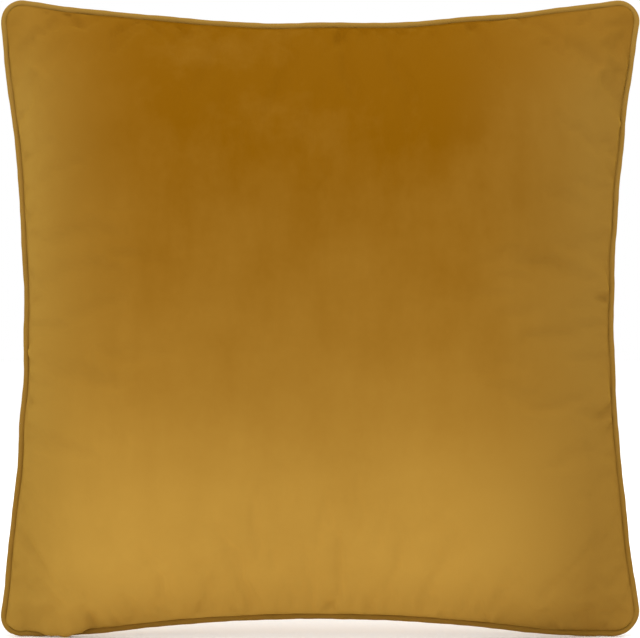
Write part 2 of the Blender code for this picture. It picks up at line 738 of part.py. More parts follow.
def build():
    clear_scene()
    line = piping_line(STATION_SPACING, CORNER_STEPS)
    add_piping(line)
    spokes = add_panels(line)
    add_label(spokes)
    add_pad()
    add_tapes()
    add_coils_and_stops()
    add_slider()
    add_pull()
    add_zip_threads(spokes)


build()
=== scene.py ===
"""Looks of a throw pillow: a piped velvet cover with a zip in its bottom seam, over a stuffed pad.

The front faces -Y and the pillow stands on its bottom seam, z = 0. Lengths are in metres.
A place near the seam is given as (n, y): n outwards from the piping's middle line, y backwards.
"""

import math

import bmesh
import bpy
import numpy as np
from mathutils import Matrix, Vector


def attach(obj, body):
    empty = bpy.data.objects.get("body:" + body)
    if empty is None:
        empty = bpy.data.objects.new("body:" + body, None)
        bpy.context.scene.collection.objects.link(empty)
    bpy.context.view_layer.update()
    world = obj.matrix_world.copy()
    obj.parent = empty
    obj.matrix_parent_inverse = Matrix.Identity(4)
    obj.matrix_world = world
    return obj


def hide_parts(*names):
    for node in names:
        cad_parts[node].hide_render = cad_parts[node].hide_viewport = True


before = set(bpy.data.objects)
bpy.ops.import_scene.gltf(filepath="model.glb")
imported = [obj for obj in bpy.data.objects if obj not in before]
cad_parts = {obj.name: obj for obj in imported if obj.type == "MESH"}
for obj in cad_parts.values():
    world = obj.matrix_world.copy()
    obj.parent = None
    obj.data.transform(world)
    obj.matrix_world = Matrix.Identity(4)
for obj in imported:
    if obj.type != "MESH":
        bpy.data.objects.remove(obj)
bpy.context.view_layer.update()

# Outline
WIDTH = 0.540
HEIGHT = 0.537
THICKNESS = 0.165
SIDE_RADIUS = (1.38, 1.35, 1.53, 1.38)
SIDE_LEAN = np.radians((0.0, 8.4, 7.2, 6.0))
CORNER_RADIUS = (0.018, 0.022, 0.018, 0.018)
RESTING_LENGTH = 0.016
CURVE_HALF = 0.1692
SIDE_STEPS = 900
WOBBLE = 0.001
WOBBLE_TURNS = (7, 38)
WOBBLE_FADE = 90

# Cover
FLAT_SHARE = 0.20
CROWN_POWER = 2.8
CROWN_FULLNESS = 0.75
RINGS = (0.0, 0.20, 0.45, 0.65, 0.80, 0.91, 1.0)
CROWN_ROUNDING = 0.07
PANEL_CELLS = 96
PANEL_CLOTH = 0.0012
SEAM_N = -0.0030
SEAM_Y = 0.00256

# Piping
PIPING_FLAT = 0.002494
PIPING_RADIUS = 0.0027
PIPING_CLOTH = 0.0007
PIPING_SLIT = 0.0001
CORD_RADIUS = 0.0017
FLANGE_REACH = 0.0102
FLANGE_HALF = PIPING_SLIT + PIPING_CLOTH
FLANGE_TILT = math.radians(5.0)
FLANGE_WAY = np.array([-math.cos(FLANGE_TILT), -math.sin(FLANGE_TILT)])
FLANGE_SIDE = np.array([FLANGE_WAY[1], -FLANGE_WAY[0]])
SEAM_ALLOWANCE = 0.0075
PIPING_STEPS = 240
SWELL_FROM = -0.0042
SWELL_RISE = 0.002
CORD_TURNS = 190
CORD_SIDES = 36
STRAND_DEPTH = 0.00022
GAP = 0.0003
THREAD_RADIUS = 0.0003
SEWN_RADIUS = THREAD_RADIUS * 0.7
THREAD_SIDES = 6
STITCH = 0.0028
STITCH_POINTS = 6
STITCH_RISE = 0.00025

# Swelling of the cover
SWELL_ROOM = 0.006
SWELL_PRESSURE = 4.0
SPARE_CLOTH = 0.02
SWELL_CAP = 0.012
SWELL_FRAMES = 25
CLOTH = {
    "quality": 6,
    "mass": 0.25,
    "tension_stiffness": 12,
    "compression_stiffness": 12,
    "shear_stiffness": 4,
    "bending_stiffness": 0.4,
    "air_damping": 4,
    "vertex_group_mass": "held",
    "shrink_min": -SPARE_CLOTH,
    "use_pressure": True,
    "uniform_pressure_force": SWELL_PRESSURE,
}

# Creases at the seam: for the bottom, right, top and left side, their place, depth, reach and slant
CREASES = 34
CREASE_SPAN = (-0.25, 0.25)
CREASE_WIDTH = (0.0032, 0.0070)
CREASE_STEEPNESS = (0.08, 0.36)
CREASE_REACH = (0.006, 0.026)
CREASE_START = 0.0016
PULLED_WIDTH = 0.0056
PULLED_CREASES = (
    ((0.004, 0.0022, 0.020, 0.6), (0.014, 0.0018, 0.016, -0.5)),
    ((0.120, 0.0010, 0.022, 0.6), (-0.090, 0.0010, 0.020, -0.3)),
    (
        (-0.213, 0.0020, 0.014, 0.8),
        (-0.151, 0.0034, 0.020, -0.9),
        (-0.148, 0.0028, 0.016, 0.9),
        (-0.118, 0.0028, 0.018, 0.4),
        (0.040, 0.0022, 0.016, -0.4),
    ),
    ((0.170, 0.0012, 0.020, 0.4), (-0.020, 0.0010, 0.022, -0.3)),
)
FULLNESS = 0.0010
FULLNESS_DEPTH = 0.010
FULLNESS_WAVES = (0.20, 0.05)
FINE_FULLNESS = (0.0010, 0.0020)
FINE_DEPTH = 0.0042
FINE_WAVES = (0.07, 0.018)
CORNER_FULLNESS = 0.0082
CORNER_FULL_AT = 0.222
CORNER_FULL_REACH = 0.034
TUCK_OUT = 0.0010
TUCK_DOWN = 0.0004
HEM_OUT = 0.0002
HEM_DOWN = 0.0005

# Pad
PAD_INSET = 0.0150
PAD_CELLS = 72
PAD_CLOTH = 0.0005
PAD_ROOM = 0.0066
PAD_RIM_Y = 0.00065
PAD_OPENING_HALF = 0.100
FILLING_INSET = 0.0165
FILLING_ROOM = 0.0022
GATHER_DEPTH = 0.0009
LOOSE_DEPTH = 0.0007
LUMP_DEPTH = 0.0011
WHIP_TURNS = 25

# Zip
ZIP_HALF = 0.150
ZIP_FROM_SEAM = 0.0052
ZIP_LIP = 0.0048
ZIP_HEM = 0.0035
HEM_FADE = 8
TACK_LENGTH = 0.0022
TACK_WIDTH = 0.0026
TACK_START = 0.0002
TACK_RUNGS = 15
ZIP_X = -0.002
SLOT_END = 0.005
SLOT_FULL = ZIP_HALF + 0.0026 + ZIP_HALF * (ZIP_FROM_SEAM + ZIP_LIP) / (HEIGHT / 2)
TAPE_HALF = SLOT_FULL + SLOT_END
TAPE_THICKNESS = 0.0005
TAPE_DEPTH = PANEL_CLOTH + GAP + TAPE_THICKNESS / 2
TAPE_REACH = 0.0115
TAPE_SPARE = 0.0004
TAPE_GRID = (220, 17)
COIL_PITCH = 0.00125
COIL_WIRE = 0.00026
COIL_NEAR = 0.0004
COIL_FAR = 0.0023
COIL_SIDES = 6
COIL_LOW = -TAPE_DEPTH + TAPE_THICKNESS / 2 + GAP / 2
COIL_HIGH = COIL_LOW + 0.0014
STOP_LENGTH = 0.0022
STOP_CLEARANCE = 0.0004
STOP_PLACE = 0.00155
STOP_HALF_WIDTH = 0.00105
END_STOP_HALF_WIDTH = 0.0026
STOP_PAST_COIL = (0.0001, 0.0003)

# Slider and pull
SLIDER_HALF_LENGTH = 0.0048
SLIDER_HALF_WIDTH = 0.0033
SLIDER_TAIL_HALF = 0.0027
SLIDER_PLATE = 0.0008
SLIDER_LIP = 0.0006
SLIDER_BLADE = 0.0002
SLIDER_TOP = COIL_HIGH + GAP + SLIDER_PLATE
SLIDER_BOTTOM = -TAPE_DEPTH - TAPE_THICKNESS / 2 - GAP - SLIDER_PLATE
SLIDER_REST = ZIP_HALF - SLIDER_HALF_LENGTH
TUNNEL_HALF = 0.0012
TUNNEL_HEIGHT = 0.0018
BRIDGE_HALF_WIDTH = 0.0009
BRIDGE_WALL = 0.0008
BRIDGE_POWER = 0.45
PULL_AXIS = SLIDER_TOP + TUNNEL_HEIGHT / 2
PULL_LENGTH = 0.0125
PULL_HALF_WIDTH = 0.0025
PULL_NECK_HALF = 0.0020
PULL_THICKNESS = 0.0008
PULL_BAR = 0.0009
PULL_RIM = (0.00035, 0.0005)
PULL_DISH = 0.00012
PULL_REACH = 0.006

# Label
LABEL_HEIGHT = 0.160
LABEL_LENGTH = 0.018
LABEL_HALF_WIDTH = 0.014
LABEL_CLOTH = 0.0004
LABEL_GRID = (29, 33)


# ---------------------------------------------------------------- outline


def corner_centre(index):
    """Centre of the rounded corner at which side number index starts, in (x, z)."""
    across, up = ((-1, -1), (1, -1), (1, 1), (-1, 1))[index]
    radius = CORNER_RADIUS[index]
    return np.array([across * (WIDTH / 2 - radius), HEIGHT / 2 + up * (HEIGHT / 2 - radius)])


def side_line(index):
    """Dense points of one side of the outer edge, without its corners.

    Its depth below the line between its ends is pull_in - R + sqrt(R^2 - s^2) in its middle. Further
    out its slope changes evenly to the tangent of its lean, which a resting stretch then keeps.
    """
    following = (index + 1) % 4
    along = np.array(((1, 0), (0, 1), (-1, 0), (0, -1))[index], float)
    inward = np.array([-along[1], along[0]])
    lean, radius = SIDE_LEAN[index], SIDE_RADIUS[index]
    straight = RESTING_LENGTH if index == 0 else 0.0
    out, sideways = -inward * math.cos(lean), along * math.sin(lean)
    start = corner_centre(index) + (out + sideways) * CORNER_RADIUS[index]
    end = corner_centre(following) + (out - sideways) * CORNER_RADIUS[following]
    half = (end - start) @ along / 2
    root = math.sqrt(radius**2 - CURVE_HALF**2)
    sag, slope, last = radius - root, CURVE_HALF / root, math.tan(lean)
    bend = half - straight - CURVE_HALF
    pull_in = sag + (slope + last) / 2 * bend + last * straight
    s = np.linspace(-half, half, 1201)
    past = np.abs(s) - CURVE_HALF
    middle = pull_in - radius + np.sqrt(radius**2 - np.minimum(np.abs(s), CURVE_HALF) ** 2)
    bending = pull_in - sag - slope * past + (slope - last) / bend * past**2 / 2
    ending = (half - np.abs(s)) * last
    depth = np.where(past <= 0, middle, np.where(past <= bend, bending, ending))
    return start + np.outer((s + half) / (2 * half), end - start) + np.outer(depth, inward)


def half_arc(corner, second):
    """Half of a rounded corner's arc: from the side before it to its middle, or on from there."""
    first = (corner - 2) * math.pi / 2 - SIDE_LEAN[corner - 1]
    last = (corner - 1) * math.pi / 2 + SIDE_LEAN[corner]
    middle = (first + last) / 2
    angle = np.linspace(*((middle, last) if second else (first, middle)), 60)
    return corner_centre(corner) + CORNER_RADIUS[corner] * np.column_stack([np.cos(angle), np.sin(angle)])


def outward(points):
    """Unit normals of a closed anticlockwise line, square to the chord between each point's neighbours."""
    chord = np.roll(points, -1, 0) - np.roll(points, 1, 0)
    normal = np.column_stack([chord[:, 1], -chord[:, 0]])
    return normal / np.linalg.norm(normal, axis=1)[:, None]


def spaced(points, steps):
    """A line's points moved to equal steps along it, by straight interpolation over its length."""
    length = lengths(points)
    even = np.linspace(0, length[-1], steps + 1)
    return np.column_stack([np.interp(even, length, column) for column in points.T])


def seam_line(steps, inset):
    """The closed line this far inside the outer edge, with this many steps to a side.

    It starts at the middle of the bottom left corner and runs anticlockwise from the front. Away from
    the zip it wanders by a sum of waves of whole numbers of turns. Returns (x, z) points and normals.
    """
    quarters = []
    for index in range(4):
        following = (index + 1) % 4
        pieces = (half_arc(index, True), side_line(index)[1:-1], half_arc(following, False))
        quarters.append(spaced(np.vstack(pieces), SIDE_STEPS)[:-1])
    edge = np.vstack(quarters)
    normal = outward(edge)
    turn = np.arange(len(edge)) / len(edge) * 2 * math.pi
    draw = np.random.default_rng(5)
    turns = np.arange(*WOBBLE_TURNS)
    phase, size = draw.uniform(0, 2 * math.pi, len(turns)), draw.normal(0, 1, len(turns)) / turns**0.7
    wander = (size * np.cos(np.outer(turn, turns) + phase)).sum(1)
    bottom = normal[:, 1] < -0.9
    quiet = np.where(bottom, 0.0, 1.0)
    window = np.hanning(2 * WOBBLE_FADE + 1)
    padded = np.concatenate([quiet[-WOBBLE_FADE:], quiet, quiet[:WOBBLE_FADE]])
    quiet = np.where(bottom, 0.0, np.convolve(padded, window / window.sum(), "valid"))
    edge = edge + normal * (wander / np.abs(wander).max() * WOBBLE * quiet - inset)[:, None]
    rows = np.vstack([edge, edge[:1]])
    line = [spaced(rows[SIDE_STEPS * k : SIDE_STEPS * (k + 1) + 1], steps)[:-1] for k in range(4)]
    points = np.vstack(line)
    return points, outward(points)


def around(line, section):
    """A (n, y) section set up at every point of a seam line: rows of (x, y, z) points."""
    points, normal = line
    n, y = np.asarray(section, float).T
    x = points[:, :1] + normal[:, :1] * n
    z = points[:, 1:] + normal[:, 1:] * n
    return np.stack([x, np.broadcast_to(y, x.shape), z], axis=-1)


# ---------------------------------------------------------------- meshes


def grid_faces(rows, columns, round_rows=False, round_columns=False):
    """Four-cornered faces between neighbouring points of a grid, which may close on itself either way."""
    a = np.arange(rows if round_rows else rows - 1)[:, None]
    b = np.arange(columns if round_columns else columns - 1)[None, :]
    below, right = (a + 1) % rows, (b + 1) % columns
    corners = (a * columns + b, below * columns + b, below * columns + right, a * columns + right)
    return np.stack(np.broadcast_arrays(*corners), axis=-1).reshape(-1, 4)


def shape(name, points, faces, finish, smooth=True, uv=None):
    """A mesh object with these points and faces, at the origin. uv gives each point's own place, if any."""
    mesh = bpy.data.meshes.new(name)
    mesh.from_pydata(np.asarray(points).reshape(-1, 3).tolist(), [], [list(f) for f in faces])
    mesh.update()
    mesh.shade_smooth() if smooth else mesh.shade_flat()
    if uv is not None:
        corner = np.zeros(len(mesh.loops), int)
        mesh.loops.foreach_get("vertex_index", corner)
        layer = mesh.uv_layers.new(name="own")
        layer.data.foreach_set("uv", np.asarray(uv).reshape(-1, 2)[corner].ravel())
    mesh.materials.append(finish)
    made = bpy.data.objects.new(name, mesh)
    bpy.context.scene.collection.objects.link(made)
    return made


def settle(piece, body, slot, *nodes):
    """The piece rides on a body and stands for these CAD nodes. Its slot is not used."""
    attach(piece, body)
    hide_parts(*nodes)
    return piece


def thicken(piece, thickness, inwards=True):
    """Gives a sheet its thickness: all of it behind its faces, or half to each side."""
    wall = piece.modifiers.new("cloth", "SOLIDIFY")
    wall.thickness, wall.offset = thickness, -1.0 if inwards else 0.0
    wall.use_quality_normals = inwards
    return piece


def outwards(piece, weld=False):
    """Turns faces to point out of their closed solids. Points that share a place can be made one first."""
    mesh = bmesh.new()
    mesh.from_mesh(piece.data)
    if weld:
        bmesh.ops.remove_doubles(mesh, verts=mesh.verts, dist=1e-6)
    bmesh.ops.recalc_face_normals(mesh, faces=mesh.faces)
    mesh.to_mesh(piece.data)
    mesh.free()


def powered(values, power):
    """|v|^p with the sign of v, which squares off a circle's sine and cosine."""
    return np.sign(values) * np.abs(values) ** power


def unit(vectors):
    """Each vector at length 1."""
    return vectors / np.linalg.norm(vectors, axis=-1, keepdims=True)


def lengths(points):
    """How far each point lies along its line."""
    return np.concatenate([[0], np.cumsum(np.linalg.norm(np.diff(points, axis=0), axis=1))])


def wavy(x, z, seed, longest, shortest, count=28):
    """A smooth random field from -1 to 1: a sum of plane waves of many lengths and directions."""
    draw = np.random.default_rng(seed)
    length = longest * (shortest / longest) ** draw.uniform(0, 1, count)
    turn, phase = draw.uniform(0, math.pi, count), draw.uniform(0, 2 * math.pi, count)
    flat = (x[..., None] * np.cos(turn) + z[..., None] * np.sin(turn)) * 2 * math.pi / length + phase
    total = (np.cos(flat) * length**0.5).sum(-1)
    return total / np.abs(total).max()


# ---------------------------------------------------------------- a swelling panel


def patch(rim):
    """A grid of points spanning a closed rim of four equal sides, bottom side first.

    A point at (u, v) is the bottom and top sides blended by v, plus the left and right sides blended
    by u, less the four corners blended by both.
    """
    steps = len(rim) // 4
    ring = np.vstack([rim, rim[:1]])
    bottom, right, top, left = (ring[k * steps : (k + 1) * steps + 1] for k in range(4))
    top, left = top[::-1], left[::-1]
    t = np.linspace(0, 1, steps + 1)
    u, v = t[None, :, None], t[:, None, None]
    low_corners = (1 - u) * (1 - v) * bottom[0] + u * (1 - v) * bottom[-1]
    corners = low_corners + (1 - u) * v * top[0] + u * v * top[-1]
    return (1 - v) * bottom[None] + v * top[None] + (1 - u) * left[:, None] + u * right[:, None] - corners


def crown(share):
    """Height share along one axis, from the middle, 0, to the rim, 1.

    It runs straight between its values (1 - f^p)^q at the rings, f counted from the flat part, and its
    corners are rounded by a moving mean, mirrored through the rim.
    """
    fine = np.linspace(-1, 2, 3001)
    rings = np.array(RINGS)
    fall = np.maximum(0, (rings - FLAT_SHARE) / (1 - FLAT_SHARE))
    values = (1 - fall**CROWN_POWER) ** CROWN_FULLNESS
    inside = np.interp(np.abs(fine), rings, values)
    past = -np.interp(2 - fine, rings, values)
    line = np.where(fine > 1, past, inside)
    window = np.hanning(int(CROWN_ROUNDING * 2000) + 1)
    smooth = np.convolve(line, window / window.sum(), "same")
    return np.interp(np.abs(share), fine, smooth)


def crowned(rim, rim_y, full_y):
    """A patch over the rim whose y goes from rim_y to full_y by the crown shares along u and v."""
    steps = len(rim) // 4
    place = patch(rim)
    t = np.linspace(-1, 1, steps + 1)
    share = crown(t)[None, :] * crown(t)[:, None]
    return np.stack([place[..., 0], rim_y + (full_y - rim_y) * share, place[..., 1]], axis=-1)


def panel_faces(grid, side):
    """A panel's faces, turned to the front where side is -1 and to the back where it is 1."""
    faces = grid_faces(*grid.shape[:2])
    return faces[:, ::-1] if side < 0 else faces


def rim_loop(grid):
    """The numbers of a grid's outermost points, once round from the bottom left corner, bottom first."""
    index = np.arange(grid.shape[0] * grid.shape[1]).reshape(grid.shape[:2])
    return np.concatenate([index[0, :-1], index[:-1, -1], index[-1, :0:-1], index[:0:-1, 0]])


def inflated(name, grid, side):
    """A panel's grid blown up as cloth with its rim held.

    A point that would move by m moves by cap tanh(m / cap).
    """
    piece = shape(name, grid, panel_faces(grid, side), None)
    piece.vertex_groups.new(name="held").add(np.sort(rim_loop(grid)).tolist(), 1.0, "REPLACE")
    cloth = piece.modifiers.new("cloth", "CLOTH")
    for key, value in CLOTH.items():
        setattr(cloth.settings, key, value)
    cloth.settings.effector_weights.gravity = 0
    cloth.collision_settings.use_collision = False
    cloth.point_cache.frame_end = SWELL_FRAMES
    for moment in range(1, SWELL_FRAMES + 1):
        bpy.context.scene.frame_set(moment)
    swollen = piece.evaluated_get(bpy.context.evaluated_depsgraph_get()).data
    points = np.zeros(grid.size)
    swollen.vertices.foreach_get("co", points)
    bpy.data.objects.remove(piece)
    bpy.context.scene.frame_set(1)
    move = points.reshape(grid.shape) - grid
    length = np.linalg.norm(move, axis=-1, keepdims=True)
    return grid + move * (SWELL_CAP * np.tanh(length / SWELL_CAP) / np.maximum(length, 1e-9))


# ---------------------------------------------------------------- finishes


class Value:
    """A socket of a finish. Sums, products and powers of values add Math nodes."""

    def __init__(self, finish, socket):
        self.finish, self.socket = finish, socket

    def maths(self, operation, a, b):
        """Adds a Math node over two values or numbers."""
        return self.finish.node("ShaderNodeMath", {"operation": operation}, {0: a, 1: b})

    def __add__(self, other):
        return self.maths("ADD", self, other)

    def __sub__(self, other):
        return self.maths("SUBTRACT", self, other)

    def __rsub__(self, other):
        return self.maths("SUBTRACT", other, self)

    def __mul__(self, other):
        return self.maths("MULTIPLY", self, other)

    def __pow__(self, other):
        return self.maths("POWER", self, other)

    __radd__, __rmul__ = __add__, __mul__


class Finish:
    """A material made of nodes round one Principled shader."""

    def __init__(self, name, **settings):
        self.material = bpy.data.materials.new(name)
        self.material.use_nodes = True
        self.tree = self.material.node_tree
        self.shader = self.tree.nodes["Principled BSDF"]
        self.also(**settings)

    def feed(self, socket, value):
        """Links a value to a socket, or sets the socket to a number or a colour."""
        if isinstance(value, Value):
            self.tree.links.new(value.socket, socket)
        elif isinstance(value, tuple) and socket.type == "RGBA":
            socket.default_value = (*value, 1.0)
        else:
            socket.default_value = value

    def node(self, kind, settings, inputs, output=0):
        """Adds a node, its settings first and then the values or links of its sockets."""
        made = self.tree.nodes.new(kind)
        for key, value in settings.items():
            setattr(made, key, value)
        for key, value in inputs.items():
            self.feed(made.inputs[key], value)
        return Value(self, made.outputs[output])

    def place(self, own=False):
        """The piece's own coordinates: its UV map along the cloth, or the place in the object."""
        return self.node("ShaderNodeTexCoord", {}, {}, "UV" if own else "Object")

    def turned(self, vector, scale=(1, 1, 1), turn=(0, 0, 0)):
        """A place stretched and turned, so that what is laid on it runs another way."""
        return self.node("ShaderNodeMapping", {}, {"Vector": vector, "Scale": scale, "Rotation": turn})

    def noise(self, vector, scale, detail=2.0, rough=0.5, bend=0.0):
        """Smooth noise from 0 to 1, with this many lumps to a metre."""
        inputs = {"Vector": vector, "Scale": scale, "Detail": detail, "Roughness": rough, "Distortion": bend}
        return self.node("ShaderNodeTexNoise", {}, inputs, "Fac")

    def part(self, vector, axis):
        """One of a place's three numbers."""
        return self.node("ShaderNodeSeparateXYZ", {}, {0: vector}, axis)

    def smooth(self, value, low, high, start=0.0, end=1.0, kind="SMOOTHSTEP"):
        """start where the value is at low, end where it is at high, with a smooth step between."""
        inputs = {0: value, 1: low, 2: high, 3: start, 4: end}
        return self.node("ShaderNodeMapRange", {"interpolation_type": kind, "clamp": True}, inputs)

    def level(self, value, low, high):
        """0 where the value is at low, 1 where it is at high, straight between and flat beyond."""
        return self.smooth(value, low, high, kind="LINEAR")

    def sine(self, value, pitch):
        """The sine of a length, once round in every pitch."""
        return self.node("ShaderNodeMath", {"operation": "SINE"}, {0: value * (2 * math.pi / pitch)})

    def mixed(self, share, first, second):
        """One colour where the share is 0, the other where it is 1."""
        settings = {"data_type": "RGBA", "blend_type": "MIX"}
        return self.node("ShaderNodeMix", settings, {0: share, 6: first, 7: second}, 2)

    def bump(self, height, depth, strength=1.0, over=None):
        """A normal from a height in units of the depth, laid over another normal if one is given."""
        inputs = {"Height": height, "Distance": depth, "Strength": strength}
        if over is not None:
            inputs["Normal"] = over
        return self.node("ShaderNodeBump", {}, inputs)

    def also(self, **settings):
        """Sets the shader's sockets, or links values to them."""
        for socket, value in settings.items():
            self.feed(self.shader.inputs[socket.replace("_", " ")], value)
        return self

    def ends(self, **links):
        """Links what changes over the surface to the shader, and hands over the material."""
        return self.also(**links).material


# Panel colours: a darker painted shade for the upper part, a lighter painted light for the lower band, and a
# painted sheen for the left and right margins.
VELVET_PAINTED_SHADE = (0.186, 0.072, 0.0008)
VELVET_PAINTED_LIGHT = (0.434, 0.246, 0.0420)
VELVET_PAINTED_SHEEN_LEFT = (0.298, 0.164, 0.0255)
VELVET_PAINTED_SHEEN_RIGHT = (0.252, 0.130, 0.0190)
# Piping colours: painted light for the top of the piping, painted shade for its bottom.
VELVET_PIPING_PAINTED_LIGHT = (0.270, 0.150, 0.0270)
VELVET_PIPING_PAINTED_SHADE = (0.200, 0.100, 0.0120)
VELVET_SHEEN = (0.90, 0.52, 0.03)


def velvet(name):
    """Cotton velvet with a short dense pile, which shines a little where it is seen from the side."""
    finish = Finish(name, Roughness=0.85, Sheen_Weight=0.30, Sheen_Roughness=0.40)
    return finish.also(Sheen_Tint=VELVET_SHEEN, Specular_IOR_Level=0.02)


def pile(finish, place):
    """The pile's own fine grain, as a bump."""
    return finish.bump(finish.noise(place, 2600.0, 2.0, 0.6), 0.00015, 0.5)


def stroked(finish, place):
    """Marks left in the pile by hands: broad clouds, slanting strokes and small touches, about 0."""
    cloud = finish.noise(finish.turned(place, (1, 1, 1.4)), 11.0, 2.0, 0.5)
    stroke = finish.noise(finish.turned(place, (1, 1, 0.3), (0, 0.5, 0)), 42.0, 3.0, 0.55)
    touch = finish.noise(place, 150.0, 2.0, 0.5)
    return cloud * 0.5 + stroke * 0.35 + touch * 0.15 - 0.5


def panel_velvet():
    """The panels' velvet, with painted light and shade: painted shade darkens the upper part, painted light
    brightens the lower band, and a painted sheen lightens both sides, less towards the top. Random marks in
    the pile vary the tone.
    """
    finish = velvet("panel_velvet")
    place = finish.place()
    height, across = finish.part(place, 2), finish.part(place, 0)
    marks = stroked(finish, place)
    # Painted light and shade by height: the lower band is painted lighter and the upper part darker, with
    # random marks mixed in.
    painted_light_below = finish.smooth(height, 0.46, 0.22, 0.0, 0.28) + finish.smooth(height, 0.26, 0.02, 0.0, 0.75)
    colour = finish.mixed(painted_light_below + marks * 0.45, VELVET_PAINTED_SHADE, VELVET_PAINTED_LIGHT)
    # Painted sheen: the left and right margins are painted lighter and greyer, less so near the top.
    left = finish.level(across + marks * 0.05, -0.110, -0.245) ** 2.5
    right = finish.level(across + marks * 0.05, 0.090, 0.225) ** 1.5
    top = finish.smooth(height, 0.44, 0.52, 1.0, 0.55)
    colour = finish.mixed(left * top, colour, VELVET_PAINTED_SHEEN_LEFT)
    colour = finish.mixed(right * top, colour, VELVET_PAINTED_SHEEN_RIGHT)
    return finish.ends(Base_Color=colour, Normal=finish.bump(marks, 0.0016, 0.3, pile(finish, place)))


def piping_velvet():
    """The same velvet cut on the bias: its pile parts over the cord, and is rubbed in small lengths. Painted
    light from above makes it lighter at the top, and painted shade makes it darker at the bottom.
    """
    finish = velvet("piping_velvet")
    place = finish.place()
    marks = stroked(finish, place)
    height = finish.part(place, 2)
    # Painted light and shade: lighter towards the top and darker towards the bottom, plus random marks.
    worn = finish.smooth(height, 0.05, 0.50, 0.35, 0.9) + marks * 1.1
    colour = finish.mixed(worn, VELVET_PIPING_PAINTED_SHADE, VELVET_PIPING_PAINTED_LIGHT)
    ply = finish.noise(finish.turned(place, turn=(0, 0.8, 0)), 420.0)
    return finish.ends(Base_Color=colour, Normal=finish.bump(ply, 0.0002, 0.3, pile(finish, place)))


def cotton_cord():
    """Soft unbleached cotton: fine hairs along the strands, with painted shade making it a little darker in
    the hollows.
    """
    finish = Finish("cotton_strands", Roughness=0.92, Sheen_Weight=0.2)
    place = finish.place()
    hair = finish.noise(place, 1800.0, 3.0, 0.6)
    patch_tone = finish.noise(place, 60.0, 2.0)
    # Painted shade: the hollows of the hairs' bump are painted darker; the patches vary at random.
    colour = finish.mixed(hair * 0.6 + patch_tone * 0.4, (0.62, 0.56, 0.44), (0.84, 0.80, 0.71))
    return finish.ends(Base_Color=colour, Normal=finish.bump(hair, 0.0002, 0.6))


def spun_thread(name, dark, light):
    """Spun thread: slanting plies, with a painted highlight on their crests and painted shade between them.
    """
    finish = Finish(name, Roughness=0.6, Sheen_Weight=0.25)
    place = finish.turned(finish.place(), turn=(0.5, 0.6, 0.7))
    bands = {"Vector": place, "Scale": 420.0, "Distortion": 1.5}
    ply = finish.node("ShaderNodeTexWave", {"wave_type": "BANDS"}, bands, "Fac")
    fluff = finish.noise(place, 2200.0, 2.0)
    # Painted highlight and shade: the plies' crests are painted lighter and the hollows darker, with random
    # fluff.
    colour = finish.mixed(ply * 0.7 + fluff * 0.3, dark, light)
    return finish.ends(Base_Color=colour, Normal=finish.bump(ply, 0.0001, 0.7))


def woven_tape():
    """Zip tape in herringbone twill: slanting ribs that turn back in stripes along the tape."""
    finish = Finish("twill_tape", Roughness=0.78, Sheen_Weight=0.15)
    own = finish.place(own=True)
    along, across = finish.part(own, 0), finish.part(own, 1)
    zigzag = finish.node("ShaderNodeMath", {"operation": "PINGPONG"}, {0: across, 1: 0.0016})
    rib, yarn = finish.sine(along + zigzag * 1.2, 0.0007), finish.sine(across, 0.00045)
    raised = rib * 0.5 + 0.5
    worn = finish.noise(finish.place(), 45.0, 3.0)
    tone = raised * 0.6 + yarn * 0.1 + worn * 0.3
    colour = finish.mixed(tone, (0.205, 0.095, 0.014), (0.400, 0.215, 0.046))
    return finish.ends(Base_Color=colour, Normal=finish.bump(raised + yarn * 0.2, 0.00012, 0.8))


def nylon():
    """Moulded nylon wire: half glossy, with faint drawing marks."""
    finish = Finish("nylon_coil", Roughness=0.32, Coat_Weight=0.2)
    place = finish.place()
    cloud = finish.noise(place, 120.0, 2.0)
    colour = finish.mixed(cloud, (0.330, 0.165, 0.030), (0.440, 0.240, 0.055))
    scratch = finish.noise(finish.turned(place, (1, 6, 1)), 1500.0, 2.0)
    rough = finish.smooth(scratch, 0.3, 0.7, 0.26, 0.42)
    return finish.ends(Base_Color=colour, Roughness=rough, Normal=finish.bump(scratch, 0.00002, 0.4))


def brass():
    """Plated brass, rubbed brighter in places, with fine scratches and dulled patches."""
    finish = Finish("rubbed_brass", Metallic=1.0)
    place = finish.place()
    dull = finish.noise(place, 380.0, 3.0, 0.6)
    scratch = finish.noise(finish.turned(place, (0.15, 1, 1), (0.3, 0.2, 0.9)), 4200.0, 2.0)
    colour = finish.mixed(finish.smooth(dull, 0.35, 0.7), (0.66, 0.50, 0.24), (0.42, 0.29, 0.12))
    rough = finish.smooth(dull * 0.6 + scratch * 0.4, 0.3, 0.7, 0.20, 0.42)
    return finish.ends(Base_Color=colour, Roughness=rough, Normal=finish.bump(scratch, 0.00002, 0.5))


def plain_cotton():
    """Downproof cotton of the pad: a close plain weave with slubs, and a little creasing."""
    finish = Finish("pad_cotton", Roughness=0.85, Sheen_Weight=0.1)
    place = finish.place()
    warp, weft = (finish.sine(finish.part(place, axis), 0.0009) for axis in (0, 2))
    weave = warp * weft * 0.5 + 0.5
    slub = finish.noise(finish.turned(place, (1, 1, 14)), 30.0, 3.0, 0.6)
    crease = finish.noise(place, 22.0, 4.0, 0.6)
    colour = finish.mixed(weave * 0.35 + slub * 0.35 + crease * 0.3, (0.74, 0.73, 0.70), (0.90, 0.90, 0.88))
    normal = finish.bump(crease, 0.002, 0.35, finish.bump(weave, 0.0001, 0.6))
    return finish.ends(Base_Color=colour, Normal=normal)


